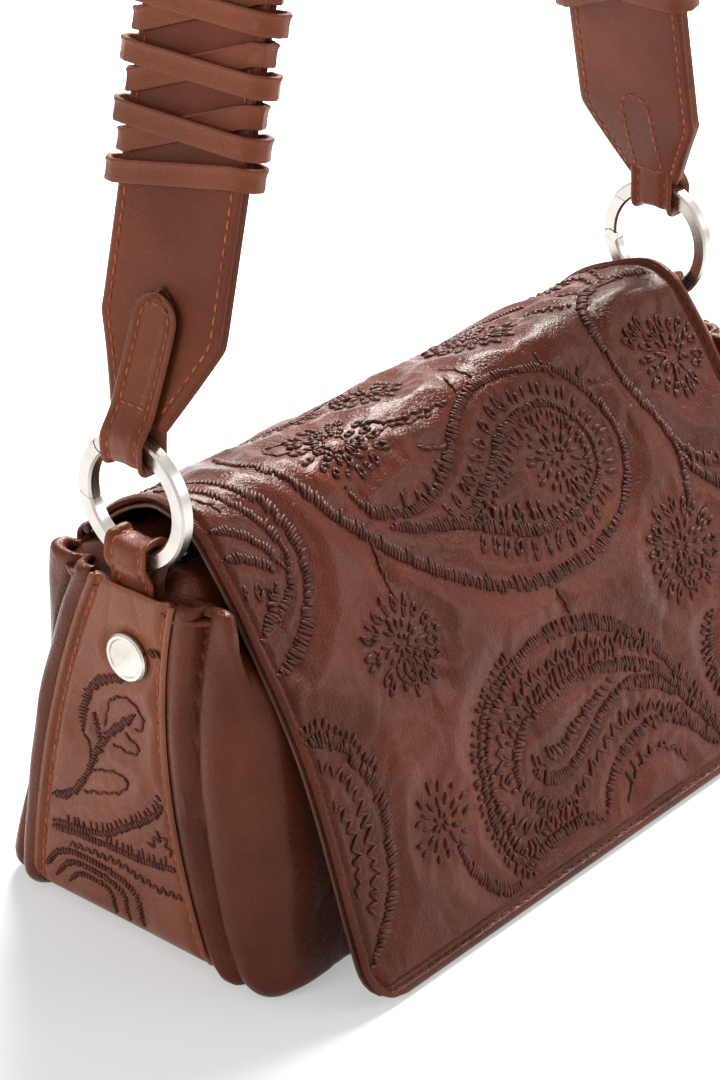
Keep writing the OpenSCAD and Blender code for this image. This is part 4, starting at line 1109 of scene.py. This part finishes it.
def makeFlap(mats):
    across, up = flapLook["cells"]
    outer = gridPiece("flap_leather", across, up, lambda u, v: flapGrid(u, v)[:, ::-1])
    thicken(outer, flapShape["leather"] * 0.93, 0.5)
    finishPiece(outer, mats["flap"], body=None, nodes=["flap_outer"])
    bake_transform(outer)
    a, na = flapBase(flapSewn[:, 0], flapSewn[:, 1])
    b, nb = flapBase(flapSewn[:, 2], flapSewn[:, 3])
    starts, ends = a + flapLook["threadLift"] * na, b + flapLook["threadLift"] * nb
    widths = flapSewn[:, 4] * embroideryLook["bold"]
    half = len(a) // 2
    for word, part in (("upper", slice(0, half)), ("lower", slice(half, None))):
        threads = sewOn("flap_embroidery_" + word, starts[part], ends[part], widths[part],
                        widths[part] * embroideryLook["height"], outer)
        finishPiece(threads, mats["silkThread"], body=None)
        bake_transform(threads)
    run = np.linspace(8, flapDrop - flapLook["grooveIn"], 260)
    reach = flapHalfAt(alongLine(flapFull, flapRun, run)) - flapLook["grooveIn"]
    front = np.linspace(-reach[-1], reach[-1], 200)
    outline = np.vstack([np.stack([-reach, run], axis=1), np.stack([front, 0 * front + run[-1]], axis=1),
                         np.stack([reach, run], axis=1)[::-1]])
    place, normal = flapBase(outline[:, 0], outline[:, 1])
    sewSeams("flap_edge_stitches", [place + normal], outer, mats["silkThread"], None, width=0.6, height=0.4,
             blend=flapBend)
    lining = gridPiece("flap_facing", 60, 70, lambda u, v: flapGrid(u, 0.06 + 0.94 * v, flapShape["leather"] + 0.15,
                                                                    False)[:, ::-1])
    thicken(lining, flapShape["lining"], 0.3)
    finishPiece(lining, mats["flapLining"], body=None, nodes=["flap_lining"])
    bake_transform(lining)
    print("flap made")


# Strap

strapShape = {
    "half": 20, "layer": 1.9, "lean": 13.5, "topRadius": 45, "taperZ": 171, "taperX": 99,
    "footHalf": 8.4, "footBend": 5.6, "footReach": 30.5, "ringX": 111, "ringZ": 128.3,
    "ringMid": 16.25, "loopOut": 20.5, "loopWidth": 15, "tailZ": 181,
}
strapFoot = strapShape["ringZ"] + strapShape["loopOut"] + 0.1


def legX(z):
    s = strapShape
    bend = np.maximum(0, 1 - (z - s["ringZ"] - s["ringMid"]) / s["footReach"]) ** 1.5
    return s["taperX"] - (z - s["taperZ"]) * math.tan(math.radians(s["lean"])) + s["footBend"] * bend


def strapCentreLine():
    s = strapShape
    lean = math.radians(s["lean"])
    centreZ = s["taperZ"] + (s["taperX"] - s["topRadius"] * math.cos(lean)) / math.tan(lean) \
        - s["topRadius"] * math.sin(lean)
    archFoot = centreZ + s["topRadius"] * math.sin(lean)
    z = np.concatenate([np.linspace(strapFoot, 176, 22), np.linspace(178, archFoot, 90)])
    leg = np.stack([legX(z), z], axis=1)
    a = np.linspace(lean, math.pi - lean, 60)[1:-1]
    arch = np.stack([s["topRadius"] * np.cos(a), centreZ + s["topRadius"] * np.sin(a)], axis=1)
    return np.vstack([leg, arch, leg[::-1] * (-1, 1)])


strapRun = strapCentreLine()
strapLengths = runLength(strapRun)


def strapFrame(d):
    # Place, and outward normal, at a run along the strap from its right foot
    xz = alongLine(strapRun, strapLengths, d)
    t = headingAt(strapRun, strapLengths, d, 1)
    return xz, np.stack([t[..., 1], -t[..., 0]], axis=-1)


def strapHalfAt(z):
    s = strapShape
    return s["footHalf"] + (s["half"] - s["footHalf"]) * np.clip((z - strapFoot) / (s["taperZ"] - strapFoot), 0, 1)


def strapSurface(y, d, offset):
    xz, n = strapFrame(d)
    moved = xz + n * np.asarray(offset)[..., None]
    return stackXyz(moved[..., 0], y, moved[..., 1])


def strapGrid(u, v, side):
    d = v * strapLengths[-1]
    xz, _ = strapFrame(d)
    half = strapHalfAt(xz[..., 1])
    y = (2 * u - 1) * half
    edge = half - np.abs(y)
    run = np.minimum(d, strapLengths[-1] - d)
    rim = np.minimum(edge, run)
    offset = strapShape["layer"] - 0.5 * (1 - smoothStep(rim / 1.2)) - 0.22 * bump((rim - 2.8) / 0.7)
    return strapSurface(y, d, side * offset)


def tailOutline(near, top, inset=2.7):
    # Closed stitch line of a round-topped tail: y across it and run along the strap
    r = strapShape["loopWidth"] / 2 - inset
    a = np.linspace(0, math.pi, 24)
    w = np.concatenate([[r, r], r * np.cos(a), [-r, -r], np.linspace(-r, r, 6)])
    run = np.concatenate([[near, top - inset - r], top - inset - r + r * np.sin(a), [top - inset - r, near],
                          np.full(6, near)])
    return w, run


def makeStrap(mats):
    outer = gridPiece("strap_leather", 40, 420, lambda u, v: strapGrid(u, v, 1))
    thicken(outer, strapShape["layer"] * 0.85, 0.4)
    finishPiece(outer, mats["strap"], body="strap", nodes=["strap_outer"])
    inner = gridPiece("strap_facing", 40, 420, lambda u, v: strapGrid(u, v, -1), flip=True)
    thicken(inner, strapShape["layer"] * 0.85, 0.4)
    finishPiece(inner, mats["strap"], body="strap", nodes=["strap_lining"])
    d = np.linspace(4, strapLengths[-1] - 4, 900)
    xz, _ = strapFrame(d)
    reach = strapHalfAt(xz[:, 1]) - 2.8
    for carrier, side, word in ((outer, 1, "outer"), (inner, -1, "inner")):
        rows = [strapSurface(way * reach, d, side * strapShape["layer"]) for way in (-1, 1)]
        if side < 0:
            # The tails are sewn through the strap, so their outline shows on its inner face too
            near = strapLengths[int(np.argmin(np.abs(strapRun[:150, 1] - 153)))]
            top = strapLengths[int(np.argmin(np.abs(strapRun[:150, 1] - strapShape["tailZ"])))]
            for flip in (False, True):
                w, run = tailOutline(near, top)
                run = strapLengths[-1] - run if flip else run
                rows.append(strapSurface(w, run, side * strapShape["layer"]))
        sewSeams("strap_stitches_" + word, rows, carrier, mats["edgeThread"], "strap")
    print("strap made")


# Tabs and tails: leather round the rings

bandLook = {"thickness": 2.0, "edgeRaise": 0.45, "pad": 0.45, "stitchIn": 2.7, "stitch": 2.2}


def bandRelief(w, half):
    # Raised turned edges, a stitched groove inside them, and a padded middle
    edge = half - np.abs(w)
    lift = bandLook["edgeRaise"] * (1 - smoothStep((edge - 1.5) / 0.8))
    lift -= 0.35 * bump((edge - bandLook["stitchIn"]) / 0.5)
    lift += bandLook["pad"] * smoothStep((edge - 3.0) / 2.2)
    return lift - 0.5 * (1 - smoothStep(edge / 0.7))


def roundEnd(share):
    # Share of the full width at this share of it from a round end
    return np.sqrt(np.clip(1 - (1 - np.clip(share, 0, 1)) ** 2, 0.02, 1))


def loopPath():
    # Around the wire in the ring's own terms: x from the ring's middle plane, and distance from its axis
    half = [(3.6, 17.9), (3.6, 16), (3.5, 14.2), (3.0, 12.9), (1.85, 12.4)]
    return [(-x, r) for x, r in half] + [(0, 12.25)] + half[::-1]


def bandPlace(side, path, widthAt, bodyCurve):
    # path holds x and distance from the ring's axis, bodyCurve how far the band follows the ring's round
    line = catmullRom(path, 10)
    lengths = runLength(line)
    total = lengths[-1]
    curve = np.interp(np.linspace(0, 1, len(line)), np.linspace(0, 1, len(bodyCurve)), bodyCurve)

    def place(u, v):
        d = v * total
        xr = alongLine(line, lengths, d)
        t = headingAt(line, lengths, d, 0.4)
        n = np.stack([t[..., 1], -t[..., 0]], axis=-1)
        half = widthAt(d, total)
        w = (2 * u - 1) * half
        lift = bandLook["thickness"] / 2 + bandRelief(w, half)
        xr = xr + n * lift[..., None]
        follow = np.interp(d, lengths, curve)
        away = xr[..., 1]
        turn = w / np.maximum(away, 12)
        y = mix(w, away * np.sin(turn), follow)
        z = mix(away, away * np.cos(turn), follow)
        return stackXyz(side * (strapShape["ringX"] + xr[..., 0]), y, z)
    return place


def makeBands(mats):
    ringZ = strapShape["ringZ"]
    half = strapShape["loopWidth"] / 2
    stitch = bandLook["stitch"]
    sewnAt = [0.5 + way * (half - bandLook["stitchIn"]) / half / 2 for way in (-1, 1)]
    for side, word in ((-1, "left"), (1, "right")):
        loop = loopPath()
        neck = [(-1.15, 45), (-1.15, 40), (-1.15, 32), (-1.15, 24.5), (-1.4, 21.6)]
        path = neck + loop + [(-x, r) for x, r in neck[::-1]]
        follow = [0, 0, 0, 0.4, 0.9] + [1] * len(loop) + [0.9, 0.4, 0, 0, 0]

        def tabWidth(d, total):
            return half * roundEnd(np.minimum(d, total - d) / half)

        place = bandPlace(side, path, tabWidth, follow)

        def placeTab(u, v):
            p = place(u, v)
            p[..., 2] = ringZ - p[..., 2]
            return p

        tab = gridPiece("ring_tab_leather_" + word, 22, 130, placeTab, flip=side > 0)
        thicken(tab, bandLook["thickness"] * 0.9, 0.3)
        finishPiece(tab, mats["tail"], nodes=["ring_tab_" + word])
        v = np.linspace(0.06, 0.94, 160)
        sewSeams("ring_tab_stitches_" + word, [placeTab(0 * v + share, v) for share in sewnAt], tab,
                 mats["edgeThread"], "root", stitch=stitch)

        # The tail goes round the ring and up the strap's outer face
        tailRun = []
        for z in (152, 156, 161, 168, 175, strapShape["tailZ"]):
            i = int(np.argmin(np.abs(strapRun[:150, 1] - z)))
            _, n = strapFrame(np.array(strapLengths[i]))
            spot = strapRun[i] + n * (strapShape["layer"] + 1.2)
            tailRun.append((spot[0] - strapShape["ringX"], spot[1] - ringZ))
        path = [(-4.2, 24), (-3.8, 21.5)] + loop + [(3.1, 19.6)] + tailRun
        follow = [0.5, 0.8] + [1] * len(loop) + [1, 0.7, 0.3, 0, 0, 0, 0]

        def tailWidth(d, total):
            return half * roundEnd((total - d) / half)

        placeUp = bandPlace(side, path, tailWidth, follow)

        def placeTail(u, v):
            p = placeUp(u, v)
            p[..., 2] = ringZ + p[..., 2]
            return p

        tail = gridPiece("strap_tail_leather_" + word, 22, 130, placeTail, flip=side < 0)
        thicken(tail, bandLook["thickness"] * 0.9, 0.3)
        finishPiece(tail, mats["tail"], body="strap", nodes=["strap_tail_" + word])
        total = runLength(catmullRom(path, 10))[-1]
        w, run = tailOutline(total - 29, total)
        seam = placeTail(w / tailWidth(run, total) / 2 + 0.5, run / total)
        low = np.linspace(total - 62, total - 29, 50)
        sides = [placeTail(0 * low + share, low / total) for share in sewnAt]
        sewSeams("strap_tail_stitches_" + word, [seam] + sides, tail, mats["edgeThread"], "strap", stitch=stitch)
    print("tabs and tails made")


# Lace: one flat lace per leg, up aslant and back down square over itself

laceShape = {"thick": 1.5, "pitch": 15, "turns": 11, "foot": 213, "gap": 0.5}


def laceStops():
    # Each stop: place across the strap from -1 to 1, angle round the edge, height in pitches, layer
    stops = []

    def faceRun(start, end, angle, h0, h1, layer0, layer1):
        for k in np.linspace(0, 1, 9):
            stops.append((mix(start, end, k), angle, mix(h0, h1, k), mix(layer0, layer1, k)))

    def edgeRun(side, h, layer):
        for a in np.linspace(0, 180, 9)[1:-1]:
            stops.append((side, (180 + a) if side > 0 else a, h, layer))

    def oneTurn(h0, h1, h2, layer0, layer1):
        faceRun(1, -1, 0, h0, h1, layer0, layer1)
        edgeRun(-1, h1, layer1)
        faceRun(-1, 1, 180, h1, h2, layer1, layer1)
        edgeRun(1, h2, layer1)

    turns = laceShape["turns"]
    faceRun(0.15, 1, 180, 0, 0, 0, 0)
    edgeRun(1, 0, 0)
    for i in range(turns):
        oneTurn(i, i + 1, i + 1, 0, 0)
    oneTurn(turns, turns + 0.5, turns - 0.5, 0, 1)
    for i in range(turns - 1, -1, -1):
        oneTurn(i + 0.5, i + 0.5, i - 0.5, 1, 1)
    faceRun(1, -1, 0, -0.5, 0, 1, 1)
    edgeRun(-1, 0, 1)
    faceRun(-1, -0.15, 180, 0, 0, 1, 1)
    return np.array(stops)


laceSection = [(-3, -0.1), (-2.9, 0.45), (-2.3, 0.62), (-1, 0.5), (0.6, 0.5), (1.7, 0.62), (2.3, 0.95), (2.85, 0.8),
               (3.05, 0.2), (2.9, -0.5), (2.2, -0.72), (0, -0.7), (-2.4, -0.7), (-2.9, -0.45)]


def lacePoints(u, v):
    s = laceShape
    stops = laceStops()
    lean = math.radians(strapShape["lean"])
    up = np.array([-math.sin(lean), 0, math.cos(lean)])
    out = np.array([math.cos(lean), 0, math.sin(lean)])
    foot = np.array([legX(np.array(float(s["foot"]))), 0, s["foot"]])
    angle = np.radians(stops[:, 1])
    normal = out * np.cos(angle)[:, None] + np.array([0, -1, 0]) * np.sin(angle)[:, None]
    lift = np.interp(stops[:, 3], [0, 1], [0.2 + s["thick"] / 2, 0.2 + 1.5 * s["thick"] + s["gap"]])
    edgePlace = strapShape["half"] - 0.8
    centre = foot + up * (stops[:, 2] * s["pitch"])[:, None] \
        + np.array([0, 1, 0]) * (stops[:, 0] * edgePlace)[:, None] \
        + normal * (strapShape["layer"] + lift)[:, None]
    keep = np.concatenate([[True], np.linalg.norm(np.diff(centre, axis=0), axis=1) > 1e-4])
    centre, normal = centre[keep], normal[keep]
    along = unitRows(np.gradient(centre, axis=0))
    wide = unitRows(np.cross(along, normal))
    wide *= np.where(wide @ up < 0, -1, 1)[:, None]
    lengths = runLength(centre)
    d = v[:, 0] * lengths[-1]
    c = alongLine(centre, lengths, d)
    n = unitRows(alongLine(normal, lengths, d))
    w = unitRows(alongLine(wide, lengths, d))
    section = np.array(laceSection + laceSection[:1])
    q = np.stack([np.interp(u[0], np.linspace(0, 1, len(section)), section[:, k]) for k in (0, 1)], axis=-1)
    return c[:, None, :] + w[:, None, :] * q[None, :, 0:1] + n[:, None, :] * q[None, :, 1:2]


def closeTube(piece):
    # Joins the grid's two long edges and caps its two ends
    deselectAll()
    piece.select_set(True)
    bpy.context.view_layer.objects.active = piece
    bpy.ops.object.mode_set(mode="EDIT")
    bpy.ops.mesh.select_all(action="SELECT")
    bpy.ops.mesh.remove_doubles(threshold=0.00001)
    bpy.ops.mesh.select_all(action="DESELECT")
    bpy.ops.mesh.select_non_manifold()
    bpy.ops.mesh.fill_holes(sides=40)
    bpy.ops.mesh.select_all(action="SELECT")
    bpy.ops.mesh.normals_make_consistent(inside=False)
    bpy.ops.object.mode_set(mode="OBJECT")
    return piece


def makeLaces(mats):
    for side, word in ((1, "right"), (-1, "left")):
        rings = len(laceStops())
        lace = gridPiece("strap_lace_leather_" + word, len(laceSection), rings,
                         lambda u, v: lacePoints(u, v) * (side, 1, 1))
        closeTube(lace)
        smoothFaces(lace, 40)
        finishPiece(lace, mats["lace"], body="strap", nodes=["strap_lace_" + word])
    print("laces made")


# Inside: lining, facings, welt, zip tapes

facingLook = {"reach": 115.4, "zipEnd": 102.5, "endLevel": 101.5, "fold": 0.9, "thickness": 1.2}
liningLook = {"inset": 5.2, "halfLength": 104}
zipLook = {"level": 106.5, "tape": (206, 7.2, 0.6), "tapeFromMiddle": 6.0, "foldAt": 9.6, "keep": 0.42}
weltLook = {"radius": 1.3, "length": 200}


def liningSkin(u, v):
    # Once round the body at each level, from the left seam along the front and back along the rear
    front = u < 0.5
    uu = np.where(front, u * 2, 2 - u * 2)
    rows = 0.10 + 0.80 * v
    inset, reach = liningLook["inset"], liningLook["halfLength"]
    p = np.where(front[..., None], plainPanel(-1, uu, rows, inset), plainPanel(1, uu, rows, inset))
    p[..., 0] = np.clip(p[..., 0], -reach, reach)
    return p


def facingSkin(side, u, v):
    # From the panel's top edge to the zip, and past the zip's ends down into the corners of the mouth
    x = (2 * u - 1) * facingLook["reach"]
    past = smoothStep((np.abs(x) - facingLook["zipEnd"]) / 7)
    edge = topEdge(side, x) - mix(1.2, 2.4, past)
    corner = np.clip((np.abs(x) - 104) / 12, 0, 1)
    rim = faceY(side, x, edge) - side * (bodyShape["wall"] + 0.3)
    rim = mix(rim, seamY(side, edge), 1 - np.sqrt(np.maximum(1 - corner ** 2, 0)))
    y = mix(rim, side * mix(6.2, 0, past), v)
    top = mix(108.2, facingLook["endLevel"], past)
    z = mix(edge, top, np.sin(np.pi / 2 * np.minimum(1, v / 0.75)))
    fold = past * facingLook["fold"] * np.sin(v * 9 + np.abs(x) * 0.35) * np.sin(np.pi * v)
    return stackXyz(x, y, z + 0.4 * softNoise(stackXyz(x, y, z), 9, 2.2) + fold)


def makeInside(mats):
    lining = gridPiece("bag_lining_cloth", 160, 30, liningSkin)
    closeTube(lining)
    smoothFaces(lining)
    finishPiece(lining, mats["lining"], nodes=["bag_lining"])
    for side, word in ((-1, "front"), (1, "back")):
        facing = gridPiece("mouth_facing_leather_" + word, 170, 20, lambda u, v: facingSkin(side, u, v), flip=side > 0)
        thicken(facing, facingLook["thickness"], 0.3)
        finishPiece(facing, mats["body"], nodes=["mouth_facing_" + word])
        deselectAll()
        bpy.ops.mesh.primitive_cube_add(
            size=1, location=(0, side * zipLook["tapeFromMiddle"] * mm, zipLook["level"] * mm))
        tape = bpy.context.object
        tape.name = tape.data.name = "zip_tape_cloth_" + word
        tape.scale = [size * mm for size in zipLook["tape"]]
        bpy.ops.object.transform_apply(location=True, rotation=True, scale=True)
        applyModifier(tape, "BEVEL", width=0.2 * mm, segments=2)
        finishPiece(tape, mats["zipTape"], nodes=["zip_tape_" + word])
        for half in (tape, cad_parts["zip_teeth_" + word]):
            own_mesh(half)
    deselectAll()
    weltY, weltZ = flapShape["hinge"]
    bpy.ops.mesh.primitive_cylinder_add(vertices=20, radius=weltLook["radius"] * mm, depth=weltLook["length"] * mm,
                                        rotation=(0, math.pi / 2, 0), location=(0, weltY * mm, weltZ * mm))
    welt = bpy.context.object
    welt.name = welt.data.name = "flap_welt_piping"
    bpy.ops.object.transform_apply(location=True, rotation=True, scale=True)
    applyModifier(welt, "BEVEL", width=0.4 * mm, segments=2, limit_method="ANGLE")
    smoothFaces(welt)
    finishPiece(welt, mats["body"], nodes=["flap_welt"])
    print("inside made")


def dressCadNodes(mats):
    nickelNodes = ["rivet_cap_left", "rivet_cap_right", "rivet_back_left", "rivet_back_right", "magnet_lower",
                   "magnet_upper", "zip_slider", "zip_puller", "zip_teeth_front", "zip_teeth_back"]
    ringNodes = ["ring_left", "ring_right", "gate_left", "gate_right", "gate_pin_left", "gate_pin_right"]
    for names, material in ((nickelNodes, mats["nickel"]), (ringNodes, mats["ringNickel"]),
                            (["base_board"], mats["board"]), (["zip_end_tabs"], mats["body"])):
        for name in names:
            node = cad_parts[name]
            node.data.materials.clear()
            node.data.materials.append(material)
    print("hard parts finished")


addCamera()
addLights()
addStudio()
materials = makeMaterials()
makeBody(materials)
makeStrip(materials)
makeFlap(materials)
makeStrap(materials)
makeBands(materials)
makeLaces(materials)
makeInside(materials)
dressCadNodes(materials)

bpy.context.view_layer.update()
